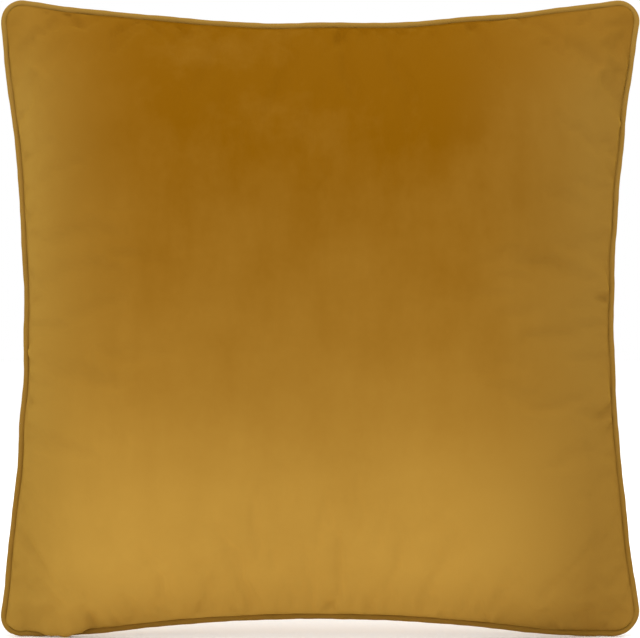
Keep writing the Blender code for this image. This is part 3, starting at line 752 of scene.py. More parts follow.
def fibre():
    """Hollow fibre filling: matted white hairs in soft clumps."""
    finish = Finish("white_fibre", Roughness=0.95, Sheen_Weight=0.4, Sheen_Roughness=0.6)
    place = finish.place()
    clump = finish.noise(place, 38.0, 4.0, 0.6, 0.6)
    hair = finish.noise(finish.turned(place, (1, 1, 0.25), (0.4, 0.7, 0.2)), 900.0, 4.0, 0.7, 1.5)
    colour = finish.mixed(clump * 0.5 + hair * 0.5, (0.80, 0.80, 0.78), (0.95, 0.95, 0.94))
    normal = finish.bump(clump, 0.004, 0.5, finish.bump(hair, 0.0006, 0.7))
    return finish.ends(Base_Color=colour, Normal=normal)


def satin():
    """Satin ribbon: long floats that shine along the weave, between two close selvedges."""
    finish = Finish("satin_ribbon", Roughness=0.35, Sheen_Weight=0.15)
    own = finish.place(own=True)
    across, along = finish.part(own, 0), finish.part(own, 1)
    floats = finish.noise(finish.turned(own, (1, 0.06, 1)), 5200.0, 2.0)
    off_middle = finish.node("ShaderNodeMath", {"operation": "ABSOLUTE"}, {0: across})
    rib = finish.sine(along, 0.0006) * finish.smooth(off_middle, 0.0122, 0.0128)
    colour = finish.mixed(floats * 0.6 + rib * 0.2 + 0.1, (0.76, 0.74, 0.69), (0.90, 0.89, 0.86))
    rough = finish.smooth(floats, 0.3, 0.7, 0.28, 0.45)
    woven = finish.bump(floats * 0.4 + rib * 0.6, 0.00008, 0.6)
    return finish.ends(Base_Color=colour, Roughness=rough, Normal=woven)


# ---------------------------------------------------------------- places along the zip


def facet_slope(x):
    """Slope of the cover at the bottom seam, x from its middle, between the rim and the next ring."""
    depth = HEIGHT / 2 - BOTTOM_PULL_IN - PIPING_FLAT + SEAM_N
    rise = (THICKNESS / 2 - SEAM_Y) * ring_height(x, depth)
    return math.atan2(rise, (1 - OUTER_RING) * depth)


def ring_height(x, z):
    """Height share (1 - f^p)^q at the outermost ring, on the way from the middle to the rim point (x, z).

    f comes from the shares of the half width and of the half height, and the two results are multiplied.
    """
    shares = np.abs(x) / (WIDTH / 2), np.abs(z) / (HEIGHT / 2)
    share = 1.0
    for part in shares:
        reach = OUTER_RING * part / np.maximum(*shares)
        fall = np.maximum(0, (reach - FLAT_SHARE) / (1 - FLAT_SHARE))
        share = share * (1 - fall**CROWN_POWER)
    return share**CROWN_FULLNESS


OUTER_RING = RINGS[-2]
BOTTOM_PULL_IN = float(side_line(0)[:, 1].max())
ZIP_RADIUS = SIDE_RADIUS[0] + PIPING_FLAT
ZIP_Z = BOTTOM_PULL_IN - SIDE_RADIUS[0]
ZIP_SLOPE = (facet_slope(0.0) + facet_slope(ZIP_HALF)) / 2


def cover_dip(reach):
    """How far the cover falls below the zip's slope beyond the slot's ends, this far from the seam."""
    return reach * math.sin(ZIP_SLOPE - facet_slope(TAPE_HALF))


def lay(w, h):
    """Place (n, y) of a point w across the zip, towards the back, and h out of it."""
    out = np.asarray(h, float) - cover_dip(ZIP_FROM_SEAM + SLIDER_HALF_WIDTH)
    along = ZIP_FROM_SEAM + np.asarray(w, float)
    n = SEAM_N - along * math.cos(ZIP_SLOPE) + out * math.sin(ZIP_SLOPE)
    return n, SEAM_Y + along * math.sin(ZIP_SLOPE) + out * math.cos(ZIP_SLOPE)


def along_zip(s, n, y):
    """Points at arc length s of the bottom seam's arc, with place (n, y): radius R - n about its centre."""
    angle = np.asarray(s) / ZIP_RADIUS
    radius = ZIP_RADIUS - n
    parts = (ZIP_X + radius * np.sin(angle), y + 0 * angle, ZIP_Z + radius * np.cos(angle))
    return np.stack(np.broadcast_arrays(*parts), axis=-1)


def on_slider(t, w, h):
    """Points in the slider's axes, t from its middle towards the bottom stop, at its place when closed."""
    angle = SLIDER_REST / ZIP_RADIUS
    back = np.array([-math.cos(angle), 0, math.sin(angle)])
    return along_zip(SLIDER_REST, *lay(w, h)) + np.asarray(t)[..., None] * back


# ---------------------------------------------------------------- threads, strips and blocks


def tube(path, radius, sides, upright, closed=False):
    """Rings of points round a path: radius times (cos, sin) along the two directions square to it."""
    if closed:
        ahead = np.roll(path, -1, 0) - np.roll(path, 1, 0)
    else:
        ahead = np.gradient(path, axis=0)
    side = unit(np.cross(ahead, upright))
    other = unit(np.cross(side, ahead))
    angle = np.linspace(0, 2 * math.pi, sides, endpoint=False)[None, :, None]
    wide = np.broadcast_to(radius, len(path))[:, None, None]
    return path[:, None] + wide * (np.cos(angle) * side[:, None] + np.sin(angle) * other[:, None])


def tube_piece(name, rings, finish, closed=False):
    """A tube's mesh, its two ends closed unless it joins up."""
    rows, sides = rings.shape[:2]
    faces = grid_faces(rows, sides, closed, True)[:, ::-1].tolist()
    if not closed:
        faces += [list(range(sides)), list(range(rows * sides - 1, (rows - 1) * sides - 1, -1))]
    return shape(name, rings, faces, finish)


def stitched(path, up, closed=False):
    """A line of stitches along a path: the thread rises by up times |sin| once in every stitch length."""
    length = lengths(path)
    count = max(2, round(length[-1] / STITCH))
    even = np.linspace(0, length[-1], count * STITCH_POINTS + 1)
    if closed:
        even = even[:-1]
    spread = np.column_stack([np.interp(even, length, column) for column in path.T])
    lift = np.column_stack([np.interp(even, length, column) for column in np.broadcast_to(up, path.shape).T])
    bow = np.abs(np.sin(even / length[-1] * count * math.pi))[:, None]
    return spread + lift * bow


def sew(name, node, path, upright=(0, 1, 0), slot="thread", closed=False):
    """A thread along a path, settled on the pillow as one of its rows of stitches."""
    rings = tube(path, SEWN_RADIUS, THREAD_SIDES, upright, closed)
    return settle(tube_piece(name, rings, THREADS[slot], closed), "pillow", slot, node)


def strip(name, route, finish, thickness):
    """A woven strip turned about the zip's centre, from one end of the tape to the other.

    Its route of (n, y) places is eased by a moving mean, and its own map is metres along and across.
    """
    fine = spaced(np.asarray(route), 60)
    padded = np.vstack([2 * fine[0] - fine[6:0:-1], fine, 2 * fine[-1] - fine[-2:-8:-1]])
    window = np.hanning(15)[1:-1]
    eased = np.column_stack([np.convolve(column, window / window.sum(), "valid") for column in padded.T])
    eased = spaced(eased, TAPE_GRID[1] - 1)
    rows, columns = TAPE_GRID
    s = np.linspace(-TAPE_HALF, TAPE_HALF, rows)[:, None]
    wave = 0.00006 * np.sin(s * 900 + 3 * eased[None, :, 0] / 0.01)
    points = along_zip(s, eased[None, :, 0], eased[None, :, 1] + wave)
    across = np.linspace(0, lengths(eased)[-1], columns)
    own = np.stack(np.broadcast_arrays(s, across[None, :]), axis=-1)
    return thicken(shape(name, points, grid_faces(rows, columns), finish, uv=own), thickness, inwards=False)


def rounded(half, power, steps=24):
    """A closed block about the origin, |x/a|^p + |y/b|^p + |z/c|^p = 1, by latitude and longitude."""
    turn = np.linspace(0, 2 * math.pi, 2 * steps, endpoint=False)[None, :]
    tilt = np.linspace(-math.pi / 2, math.pi / 2, steps + 1)[1:-1, None]
    wide = powered(np.cos(tilt), 2 / power)
    x, y = wide * powered(np.cos(turn), 2 / power), wide * powered(np.sin(turn), 2 / power)
    z = powered(np.sin(tilt), 2 / power) + 0 * turn
    rings = np.stack([x, y, z], axis=-1) * half
    rows, columns = rings.shape[:2]
    poles = np.array([[0, 0, -half[2]], [0, 0, half[2]]])
    faces = grid_faces(rows, columns, False, True).tolist()
    low, high, last = rows * columns, rows * columns + 1, (rows - 1) * columns
    following = [(k + 1) % columns for k in range(columns)]
    faces += [[low, k, following[k]] for k in range(columns)]
    faces += [[high, last + following[k], last + k] for k in range(columns)]
    return np.vstack([rings.reshape(-1, 3), poles]), faces


def slab(outline, low, high):
    """A flat plate in the slider's axes: its outline of (t, w) places at two heights, walls between."""
    t, w = np.asarray(outline, float).T
    points = np.vstack([np.column_stack([t, w, 0 * t + level]) for level in (low, high)])
    count = len(t)
    walls = grid_faces(2, count, False, True).tolist()
    return points, walls + [list(range(count)), list(range(2 * count - 1, count - 1, -1))]


def joined(name, solids, finish, bevel):
    """One piece from several closed solids given in the slider's axes, with its edges bevelled."""
    points, faces, count = [], [], 0
    for solid_points, solid_faces in solids:
        points.append(solid_points)
        faces += [[corner + count for corner in face] for face in solid_faces]
        count += len(solid_points)
    place = np.vstack(points)
    piece = shape(name, on_slider(*place.T), faces, finish)
    outwards(piece)
    if bevel:
        edge = piece.modifiers.new("soft_edges", "BEVEL")
        edge.width, edge.segments, edge.limit_method, edge.angle_limit = bevel, 3, "ANGLE", math.radians(35)
        edge.harden_normals = True
    return piece


# ---------------------------------------------------------------- the cover


def facets(line):
    """How the cover leaves its rim at the back: rim points, and the step inwards for a unit of inset."""
    points, normal = line
    rim = around(line, [(0, SEAM_Y)])[:, 0]
    height = ring_height(points[:, 0], points[:, 1] - HEIGHT / 2)
    inner = np.column_stack([points[:, 0], SEAM_Y + 0 * height, points[:, 1]])
    middle = np.array([0, SEAM_Y, HEIGHT / 2])
    inner = middle + (inner - middle) * OUTER_RING
    inner[:, 1] = SEAM_Y + (THICKNESS / 2 - SEAM_Y) * height
    step = inner - rim
    outside = np.column_stack([normal[:, 0], 0 * height, normal[:, 1]])
    return rim, step / -(step * outside).sum(1)[:, None]


def with_slot(grid, line):
    """The back panel's grid drawn up from the seam, along the zip, to the edge of its hem."""
    rim, inwards = facets(line)
    steps = PANEL_CELLS
    bottom = slice(0, steps + 1)
    ramp = np.clip((TAPE_HALF - np.abs(rim[bottom, 0] - ZIP_X)) / SLOT_END, 0, 1)
    inset = (ZIP_FROM_SEAM + ZIP_LIP) * math.cos(ZIP_SLOPE) * ramp
    hem = rim[bottom] + inwards[bottom] * inset[:, None]
    row_step = np.linalg.norm((grid[1] - grid[0])[:, [0, 2]], axis=1)
    start = inset / np.maximum(row_step, 1e-6)
    rows = np.arange(steps + 1)[:, None]
    wanted = start[None] + rows * (1 - start[None] / steps)
    low = np.minimum(wanted.astype(int), steps - 1)
    part = (wanted - low)[..., None]
    columns = np.arange(steps + 1)[None, :]
    drawn = grid[low, columns] * (1 - part) + grid[low + 1, columns] * part
    fade = np.clip(1 - rows / HEM_FADE, 0, 1)[..., None] ** 2
    return drawn + (hem - drawn[0])[None] * fade


def finer(grid):
    """A grid with a point added between all neighbours, first one way and then the other.

    Each is 9/16 of the sum of the two points beside it, less 1/16 of the sum of the two beyond those.
    """
    for _ in range(2):
        ends = np.concatenate([2 * grid[:1] - grid[1:2], grid, 2 * grid[-1:] - grid[-2:-1]])
        between = (ends[1:-2] + ends[2:-1]) * 9 / 16 - (ends[:-3] + ends[3:]) / 16
        woven = np.empty((2 * len(grid) - 1, *grid.shape[1:]))
        woven[::2], woven[1::2] = grid, between
        grid = woven.swapaxes(0, 1)
    return grid


def from_sides(grid):
    """For the bottom, right, top and left side: how far each point is along it, and in from it."""
    up, over = np.zeros(grid.shape[:2]), np.zeros(grid.shape[:2])
    up[1:] = np.linalg.norm(np.diff(grid, axis=0), axis=-1).cumsum(0)
    over[:, 1:] = np.linalg.norm(np.diff(grid, axis=1), axis=-1).cumsum(1)
    x, z = grid[..., 0], grid[..., 2] - HEIGHT / 2
    return (x, up), (z, over[:, -1:] - over), (x, up[-1:] - up), (z, over)


def creased(grid, side):
    """Small creases that run in from the seam, and fullness that swells out over it in places.

    A crease sinks by a (1 - 1.5 q^2) e^(-q^2 - (d/l)^2), where q = (s - p - k d)/w, for a place s along
    the side and d in from it. The fullness moves out by A (d/D) e^(1 - d/D), for a wide and a narrow D.
    The back panel's bottom side is left as its hem lays it.
    """
    seed = 60 + side
    draw = np.random.default_rng(seed)
    flat_u, flat_v = np.gradient(grid, axis=(1, 0))
    normal = unit(np.cross(flat_u, flat_v)) * -side
    sink = np.zeros(grid.shape[:2])
    ways = np.array(((0, 0, -1), (1, 0, 0), (0, 0, 1), (-1, 0, 0)), float)
    for index, (s, d) in enumerate(from_sides(grid)):
        place = draw.uniform(*CREASE_SPAN, CREASES)
        width = draw.uniform(*CREASE_WIDTH, CREASES)
        depth = width * draw.uniform(*CREASE_STEEPNESS, CREASES)
        reach = draw.uniform(*CREASE_REACH, CREASES)
        slant = draw.normal(0, 0.5, CREASES)
        if side < 0:
            own = np.array(PULLED_CREASES[index])
            width = np.append(width, np.full(len(own), PULLED_WIDTH))
            place, depth, reach, slant = (
                np.append(drawn, column) for drawn, column in zip((place, depth, reach, slant), own.T)
            )
        elif index == 0:
            continue
        q = (s[..., None] - place - slant * d[..., None]) / width
        folds = depth * (1 - 1.5 * q**2) * np.exp(-(q**2) - (d[..., None] / reach) ** 2)
        sink += folds.sum(-1) * (1 - np.exp(-((d / CREASE_START) ** 2)))
        swell = FULLNESS * wavy(s, 0 * s, seed + index, *FULLNESS_WAVES)
        fine = FINE_FULLNESS[0] + FINE_FULLNESS[1] * wavy(s, 0 * s, seed + index + 4, *FINE_WAVES)
        if index == 0:
            swell = swell + CORNER_FULLNESS * np.exp(-(((s + CORNER_FULL_AT) / CORNER_FULL_REACH) ** 2))
        for size, deep in ((swell, FULLNESS_DEPTH), (fine, FINE_DEPTH)):
            grid = grid + (size * (d / deep) * np.exp(1 - d / deep))[..., None] * ways[index]
    return grid - normal * sink[..., None]


def tucked(grid, side):
    """A panel's points and faces, its rim running on into the groove beside the piping, or folded in."""
    loop = rim_loop(grid)
    rim = grid.reshape(-1, 3)[loop]
    normal = outward(rim[:, [0, 2]])
    turn = np.arange(len(loop)) / len(loop) * 2 * math.pi
    uneven = np.sin(23 * turn + 1) * 0.5 + np.sin(57 * turn) * 0.3 + np.sin(91 * turn + 2) * 0.2
    low = (normal[:, 1] < -0.8) & (side > 0)
    hem = np.where(low, np.clip((TAPE_HALF - np.abs(rim[:, 0] - ZIP_X)) / SLOT_END, 0, 1), 0)
    out = TUCK_OUT * (1 + 0.25 * uneven) * (1 - hem) + HEM_OUT * hem
    down = TUCK_DOWN * (1 - hem) + HEM_DOWN * hem
    tuck = rim + np.column_stack([normal[:, 0] * out, -side * down, normal[:, 1] * out])
    outer = np.arange(len(loop)) + grid.shape[0] * grid.shape[1]
    strip_faces = np.column_stack([np.roll(loop, -1), loop, outer, np.roll(outer, -1)])[:, ::-side]
    return np.vstack([grid.reshape(-1, 3), tuck]), np.vstack([panel_faces(grid, side), strip_faces])


def cover():
    """Both velvet panels. Returns the back panel's grid."""
    line = seam_line(PANEL_CELLS, PIPING_FLAT - SEAM_N)
    for name, side, node in (("velvet_front", -1, "front_panel"), ("velvet_back", 1, "back_panel")):
        grid = crowned(line[0], side * SEAM_Y, side * (THICKNESS / 2 - SWELL_ROOM))
        if side > 0:
            grid = with_slot(grid, line)
        grid = inflated(name, grid, side)
        grid = creased(finer(grid), side)
        piece = thicken(shape(name, *tucked(grid, side), PANEL_VELVET), PANEL_CLOTH)
        settle(piece, "pillow", "velvet", node)
    return grid


def piping():
    """The bias strip: a ring round the cord whose two ends run back as the two layers of a flange."""
    line = seam_line(PIPING_STEPS, PIPING_FLAT)
    inner = PIPING_RADIUS - PIPING_CLOTH

    def ring(radius, half):
        """Points round the cord, open at the back by half to each side."""
        gap = math.asin(half / radius)
        angle = np.linspace(math.pi + FLANGE_TILT - gap, -math.pi + FLANGE_TILT + gap, 28)
        return radius * np.column_stack([np.cos(angle), np.sin(angle)])

    def layer(half, back):
        """Points along one side of the flange, from its end to the ring or back again."""
        reach = np.array([[FLANGE_REACH], [FLANGE_REACH * 0.6]])
        return (reach * FLANGE_WAY + half * FLANGE_SIDE)[:: -1 if back else 1]

    outside, inside = (
        np.vstack([layer(half, False), ring(radius, half), layer(-half, True)])
        for radius, half in ((PIPING_RADIUS, FLANGE_HALF), (inner, PIPING_SLIT))
    )
    section = np.vstack([outside, inside[::-1]])
    grid = around(line, section)
    turn = np.arange(len(grid)) / len(grid) * 2 * math.pi
    full = 1 + 0.035 * np.sin(31 * turn) + 0.03 * np.sin(83 * turn + 1) + 0.02 * np.sin(149 * turn + 2)
    swell = (full[:, None] - 1) * np.clip((section[:, 0] - SWELL_FROM) / SWELL_RISE, 0, 1)[None, :]
    grid = grid + (grid - around(line, [(0, 0)])) * swell[..., None]
    faces = grid_faces(*grid.shape[:2], True, True)
    settle(shape("piping_wrap", grid, faces, PIPING_VELVET), "pillow", "velvet", "piping_cover")

    strand = np.linspace(0, 2 * math.pi, CORD_SIDES, endpoint=False)
    radius = CORD_RADIUS - STRAND_DEPTH * (0.5 + 0.5 * np.cos(3 * strand))
    points, normal = line
    phase = np.linspace(0, 2 * math.pi * CORD_TURNS, len(points), endpoint=False)[:, None]
    x = points[:, :1] + normal[:, :1] * radius * np.cos(strand + phase)
    z = points[:, 1:] + normal[:, 1:] * radius * np.cos(strand + phase)
    twisted = np.stack([x, radius * np.sin(strand + phase), z], axis=-1)
    core = shape("piping_core", twisted, grid_faces(len(points), CORD_SIDES, True, True), COTTON)
    outwards(core)
    settle(core, "pillow", "cotton_cord", "piping_cord")

    reach, off = PIPING_RADIUS + SEAM_ALLOWANCE / 2, FLANGE_HALF + GAP + SEWN_RADIUS
    path = around(line, [reach * FLANGE_WAY - off * FLANGE_SIDE])[:, 0]
    path = stitched(np.vstack([path, path[:1]]), (0, -STITCH_RISE, 0), True)
    sew("seam_stitches", "seam_thread", path, closed=True)


def at(grid, row, column):
    """Points of a grid at part rows and columns, blended from the four around, and normals off the back."""
    row, column = np.broadcast_arrays(np.asarray(row, float), np.asarray(column, float))
    i, j = np.minimum(row.astype(int), len(grid) - 2), np.minimum(column.astype(int), grid.shape[1] - 2)
    a, b = (row - i)[..., None], (column - j)[..., None]
    near = grid[i, j] * (1 - b) + grid[i, j + 1] * b
    far = grid[i + 1, j] * (1 - b) + grid[i + 1, j + 1] * b
    normal = unit(np.cross(far - near, grid[i, j + 1] - grid[i, j]))
    return near * (1 - a) + far * a, normal


def zip_stitching(back):
    """The row along the hem and the two tacks lie on the back panel; the front row lies on the flange."""
    along = np.linspace(-SLOT_FULL, SLOT_FULL, 400)
    columns = np.interp(along + ZIP_X, back[0, :, 0], np.arange(back.shape[1]))
    base, _ = at(back, 0.0, columns)
    above, _ = at(back, 1.0, columns)
    share = ZIP_HEM / np.linalg.norm(above - base, axis=1)
    path, normal = at(back, share, columns)
    path = stitched(path + normal * (SEWN_RADIUS * 0.6), normal * STITCH_RISE)
    sew("hem_stitches", "zip_thread_back", path)

    off = FLANGE_HALF + 2 * GAP + TAPE_THICKNESS + SEWN_RADIUS
    n, y = FLANGE_WAY * (FLANGE_REACH - SEAM_ALLOWANCE / 3) + FLANGE_SIDE * off
    sew("tape_stitches", "zip_thread_front", stitched(along_zip(along, n, y), (0, 0.0002, 0)))

    for name, way_out, node in (("tack_left", -1, "bar_tack_left"), ("tack_right", 1, "bar_tack_right")):
        rung = np.arange(TACK_RUNGS * 8)
        zig = np.abs((rung / 8) % 2 - 1)
        x = ZIP_X + way_out * (TAPE_HALF + TACK_START + TACK_LENGTH * rung / rung[-1])
        column = np.interp(x, back[0, :, 0], np.arange(back.shape[1]))
        step = np.linalg.norm(at(back, 1.0, column)[0] - at(back, 0.0, column)[0], axis=1)
        place, normal = at(back, (TACK_START + TACK_WIDTH * zig) / step, column)
        lift = SEWN_RADIUS * 0.8 + STITCH_RISE * np.sin(math.pi * zig)
        sew(name, node, place + normal * lift[:, None], (1, 0, 0))


def label(back):
    """The care label: a satin strip from the left seam that lies under the back panel, curling a little."""
    row = int(np.argmin(np.abs(back[:, 0, 2] - LABEL_HEIGHT)))
    row_step = np.linalg.norm(back[row + 1, 2] - back[row, 2])
    column_step = np.linalg.norm(back[row, 3] - back[row, 2])
    v = np.linspace(0, 1, LABEL_GRID[0])[:, None]
    u = np.linspace(-1, 1, LABEL_GRID[1])[None, :]
    down = row + u * LABEL_HALF_WIDTH / row_step + 0 * v
    inset = (SEAM_ALLOWANCE / 2 + LABEL_LENGTH * v) / column_step + 0 * u
    under, normal = at(back, down, inset)
    lift = PANEL_CLOTH + 0.0010 + 0.0007 * v**2 + 0.0003 * u**2 * v + 0.00012 * np.sin(5 * u + 3 * v) * v
    own = np.stack(np.broadcast_arrays(u * LABEL_HALF_WIDTH, v * LABEL_LENGTH), axis=-1)
    piece = shape("satin_label", under - normal * lift[..., None], grid_faces(*LABEL_GRID), SATIN, uv=own)
    settle(thicken(piece, LABEL_CLOTH, inwards=False), "pillow", "label", "care_label")


# ---------------------------------------------------------------- the pad


def pad():
    """Two cotton casings with gathered rims, sewn round and closed by hand, over a lumpy fibre filling."""
    line = seam_line(PAD_CELLS, PAD_INSET)
    t = np.abs(np.linspace(-1, 1, PAD_CELLS + 1))
    edge = 1 - np.maximum(t[None, :], t[:, None])
    full = THICKNESS / 2 - PAD_ROOM
    for name, side, node in (("pad_front", -1, "pad_casing_front"), ("pad_back", 1, "pad_casing_back")):
        grid = crowned(line[0], side * PAD_RIM_Y, side * full)
        x, z = grid[..., 0], grid[..., 2]
        gather = wavy(x, z, 21 + side, 0.030, 0.014) * np.exp(-edge / 0.05) * np.minimum(1, edge / 0.03)
        loose = wavy(x, z, 31 + side, 0.16, 0.05) * np.minimum(1, edge / 0.2)
        grid[..., 1] += side * (GATHER_DEPTH * gather + LOOSE_DEPTH * (loose - 1))
        piece = shape(name, grid, panel_faces(grid, side), PAD_COTTON)
        smoother = piece.modifiers.new("finer", "SUBSURF")
        smoother.levels = smoother.render_levels = 1
        thicken(piece, PAD_CLOTH)
        settle(piece, "pillow", "pad_cloth", node)

    rim = (seam_line(PAD_CELLS, FILLING_INSET)[0] - [0, HEIGHT / 2]) * 0.985 + [0, HEIGHT / 2]
    halves, faces = [], []
    for side in (-1, 1):
        grid = crowned(rim, 0.0, side * (full - FILLING_ROOM))
        lump = wavy(grid[..., 0], grid[..., 2], 41 + side, 0.09, 0.02, 60) - 1
        grid[..., 1] += side * LUMP_DEPTH * lump * np.minimum(1, edge / 0.06)
        faces.append(panel_faces(grid, side) + len(halves) * grid[..., 0].size)
        halves.append(grid.reshape(-1, 3))
    filling = shape("fibre_filling", np.vstack(halves), np.vstack(faces), FIBRE)
    outwards(filling, weld=True)
    settle(filling, "pillow", "filling", "pad_filling")

    points, normal = seam_line(PIPING_STEPS, PAD_INSET - GAP - THREAD_RADIUS)
    low = normal[:, 1] < -0.9
    opening = low & (np.abs(points[:, 0]) < PAD_OPENING_HALF)
    start = int(np.flatnonzero(opening)[-1]) + 1
    sewn = np.roll(points, -start, 0)[: len(points) - int(opening.sum())]
    path = np.column_stack([sewn[:, 0], 0 * sewn[:, 0], sewn[:, 1]])
    sew("pad_stitches", "pad_seam_thread", stitched(path, (0, 0.00018, 0)), slot="pad_thread")
    gap_points = points[opening][2:-2]
    x = np.linspace(gap_points[0, 0], gap_points[-1, 0], 600)
    z = np.interp(x, gap_points[:, 0], gap_points[:, 1])
    turn = np.linspace(0, 2 * math.pi * WHIP_TURNS, 600)
    whip = np.column_stack([x, 0.0008 * np.sin(turn), z + 0.00035 * np.cos(2 * turn)])
    sew("closing_stitches", "pad_closing_thread", whip, (0, 0.3, 1), "pad_thread")


# ---------------------------------------------------------------- the zip


def tapes():
    """One tape turns in along the piping's flange, the other lies under the back panel's hem."""
    off = FLANGE_SIDE * (FLANGE_HALF + GAP + TAPE_THICKNESS / 2)
    beside = SLIDER_HALF_WIDTH + GAP
    turn_in = (-ZIP_FROM_SEAM + 2 * GAP, -TAPE_DEPTH - TAPE_THICKNESS)
    front = [lay(w, h) for w, h in ((-COIL_NEAR, -TAPE_DEPTH), (-beside, -TAPE_DEPTH), turn_in)]
    front += [FLANGE_WAY * (PIPING_RADIUS + 0.0018) + off, FLANGE_WAY * FLANGE_REACH + off]
    dip = cover_dip(TAPE_REACH - SLIDER_HALF_WIDTH) + TAPE_SPARE
    under_hem = (TAPE_REACH, -TAPE_DEPTH - dip)
    back = [lay(w, h) for w, h in ((COIL_NEAR, -TAPE_DEPTH), (beside, -TAPE_DEPTH), under_hem)]
    for name, route, node in (("tape_front", front, "zip_tape_front"), ("tape_back", back, "zip_tape_back")):
        settle(strip(name, route, TAPE, TAPE_THICKNESS), "pillow", "zip_tape", node)


def coils():
    """Each coil is one wire wound as a flattened spiral: w and h follow an ellipse once in every pitch."""
    turns = round(2 * ZIP_HALF / COIL_PITCH)
    around_turn = np.linspace(0, 2 * math.pi * turns, turns * 12 + 1)
    middle_w = (COIL_NEAR + COIL_FAR) / 2
    reach_w = (COIL_FAR - COIL_NEAR) / 2 - COIL_WIRE
    middle_h, reach_h = (COIL_LOW + COIL_HIGH) / 2, (COIL_HIGH - COIL_LOW) / 2 - COIL_WIRE
    for name, side, node in (("coil_front", -1, "zip_coil_front"), ("coil_back", 1, "zip_coil_back")):
        shift = COIL_PITCH / 2 if side > 0 else 0.0
        ends = -ZIP_HALF + COIL_WIRE, ZIP_HALF - COIL_WIRE - COIL_PITCH / 2
        s = np.linspace(*ends, len(around_turn)) + shift
        w = side * (middle_w + reach_w * np.cos(around_turn))
        path = along_zip(s, *lay(w, middle_h + reach_h * np.sin(around_turn)))
        wire = COIL_WIRE * (1 + 0.25 * np.maximum(0, -np.cos(around_turn)) ** 6)
        rings = tube(path, wire, COIL_SIDES, (1, 0, 0))
        settle(tube_piece(name, rings, NYLON), "pillow", "zip_coil", node)


def stops():
    """Metal clips pressed over the coils' ends: rounded blocks, pinched across their middle."""
    top = ZIP_HALF + STOP_CLEARANCE + STOP_LENGTH / 2
    low, high = COIL_LOW - STOP_PAST_COIL[0], COIL_HIGH + STOP_PAST_COIL[1]
    for name, s, w, half_w, node in (
        ("stop_top_front", top, -STOP_PLACE, STOP_HALF_WIDTH, "zip_top_stop_front"),
        ("stop_top_back", top, STOP_PLACE, STOP_HALF_WIDTH, "zip_top_stop_back"),
        ("stop_bottom", -top, 0.0, END_STOP_HALF_WIDTH, "zip_bottom_stop"),
    ):
        block, faces = rounded((STOP_LENGTH / 2, half_w, (high - low) / 2), 5.0)
        pinch = 1 - 0.12 * np.exp(-((block[:, 0] / (0.22 * STOP_LENGTH)) ** 2))
        over, out = w + block[:, 1] * pinch, (low + high) / 2 + block[:, 2] * pinch
        piece = shape(name, along_zip(s + block[:, 0], *lay(over, out)), faces, BRASS)
        outwards(piece)
        settle(piece, "pillow", "zip_metal", node)


def slider_outline(count=40):
    """Half width w along the slider: wide at the nose, narrowing evenly to the tail, with rounded ends."""
    t = SLIDER_HALF_LENGTH * np.cos(np.linspace(0, math.pi, count))
    ease = np.clip((t + 0.001) / (SLIDER_HALF_LENGTH + 0.001), 0, 1)
    wide = SLIDER_HALF_WIDTH + (SLIDER_TAIL_HALF - SLIDER_HALF_WIDTH) * ease**2 * (3 - 2 * ease)
    w = wide * (1 - np.abs(t / SLIDER_HALF_LENGTH) ** 9) ** (1 / 3)
    upper = np.column_stack([t, w])
    return np.vstack([upper, (upper * [1, -1])[-2:0:-1]])


def slider():
    """Two shield-shaped plates, side lips, a dividing wedge at the nose, and a bridge over the pull's bar."""
    plate = slider_outline()
    solids = [
        slab(plate, SLIDER_TOP - SLIDER_PLATE, SLIDER_TOP),
        slab(plate, SLIDER_BOTTOM, SLIDER_BOTTOM + SLIDER_PLATE),
    ]
    lip_end = -TAPE_DEPTH + TAPE_THICKNESS / 2 + GAP
    clear = COIL_FAR + GAP / 2
    rim = plate[(np.abs(plate[:, 0]) < 0.85 * SLIDER_HALF_LENGTH) & (np.abs(plate[:, 1]) > clear + 0.0001)]
    for side in (-1, 1):
        edge = rim[rim[:, 1] * side > 0]
        inner = side * np.maximum(np.abs(edge[:, 1]) - SLIDER_LIP, clear)
        lip = np.vstack([edge, np.column_stack([edge[:, 0], inner])[::-1]])
        solids.append(slab(lip, lip_end, SLIDER_TOP - SLIDER_PLATE / 2))
    nose = -0.92 * SLIDER_HALF_LENGTH
    wedge = [(nose, -0.6), (0.001, -1), (0.0025, 0), (0.001, 1), (nose, 0.6)] * np.array([1, SLIDER_BLADE])
    solids.append(slab(wedge, SLIDER_BOTTOM + SLIDER_PLATE / 2, SLIDER_TOP - SLIDER_PLATE / 2))

    outer = TUNNEL_HALF + BRIDGE_WALL
    foot, roof = SLIDER_TOP - 0.0002, SLIDER_TOP + TUNNEL_HEIGHT
    turn = np.linspace(0, math.pi, 33)
    over, high = powered(np.cos(turn), BRIDGE_POWER), powered(np.abs(np.sin(turn)), BRIDGE_POWER)
    outside = np.column_stack([outer * over, foot + (roof + BRIDGE_WALL - foot) * high])
    inside = np.column_stack([TUNNEL_HALF * over, foot + (roof - foot) * high])
    arch = np.vstack([outside, inside[::-1]])
    sides = (-BRIDGE_HALF_WIDTH, BRIDGE_HALF_WIDTH)
    points = np.vstack([np.column_stack([arch[:, 0], 0 * arch[:, 0] + w, arch[:, 1]]) for w in sides])
    count = len(arch)
    half = count // 2
    faces = grid_faces(2, count, False, True).tolist()
    for base in (0, count):
        end = base + count - 1
        faces += [[base + k, base + k + 1, end - 1 - k, end - k] for k in range(half - 1)]
    solids.append((points, faces))
    settle(joined("slider_body", solids, BRASS, 0.00012), "slider", "zip_metal", "zip_slider")


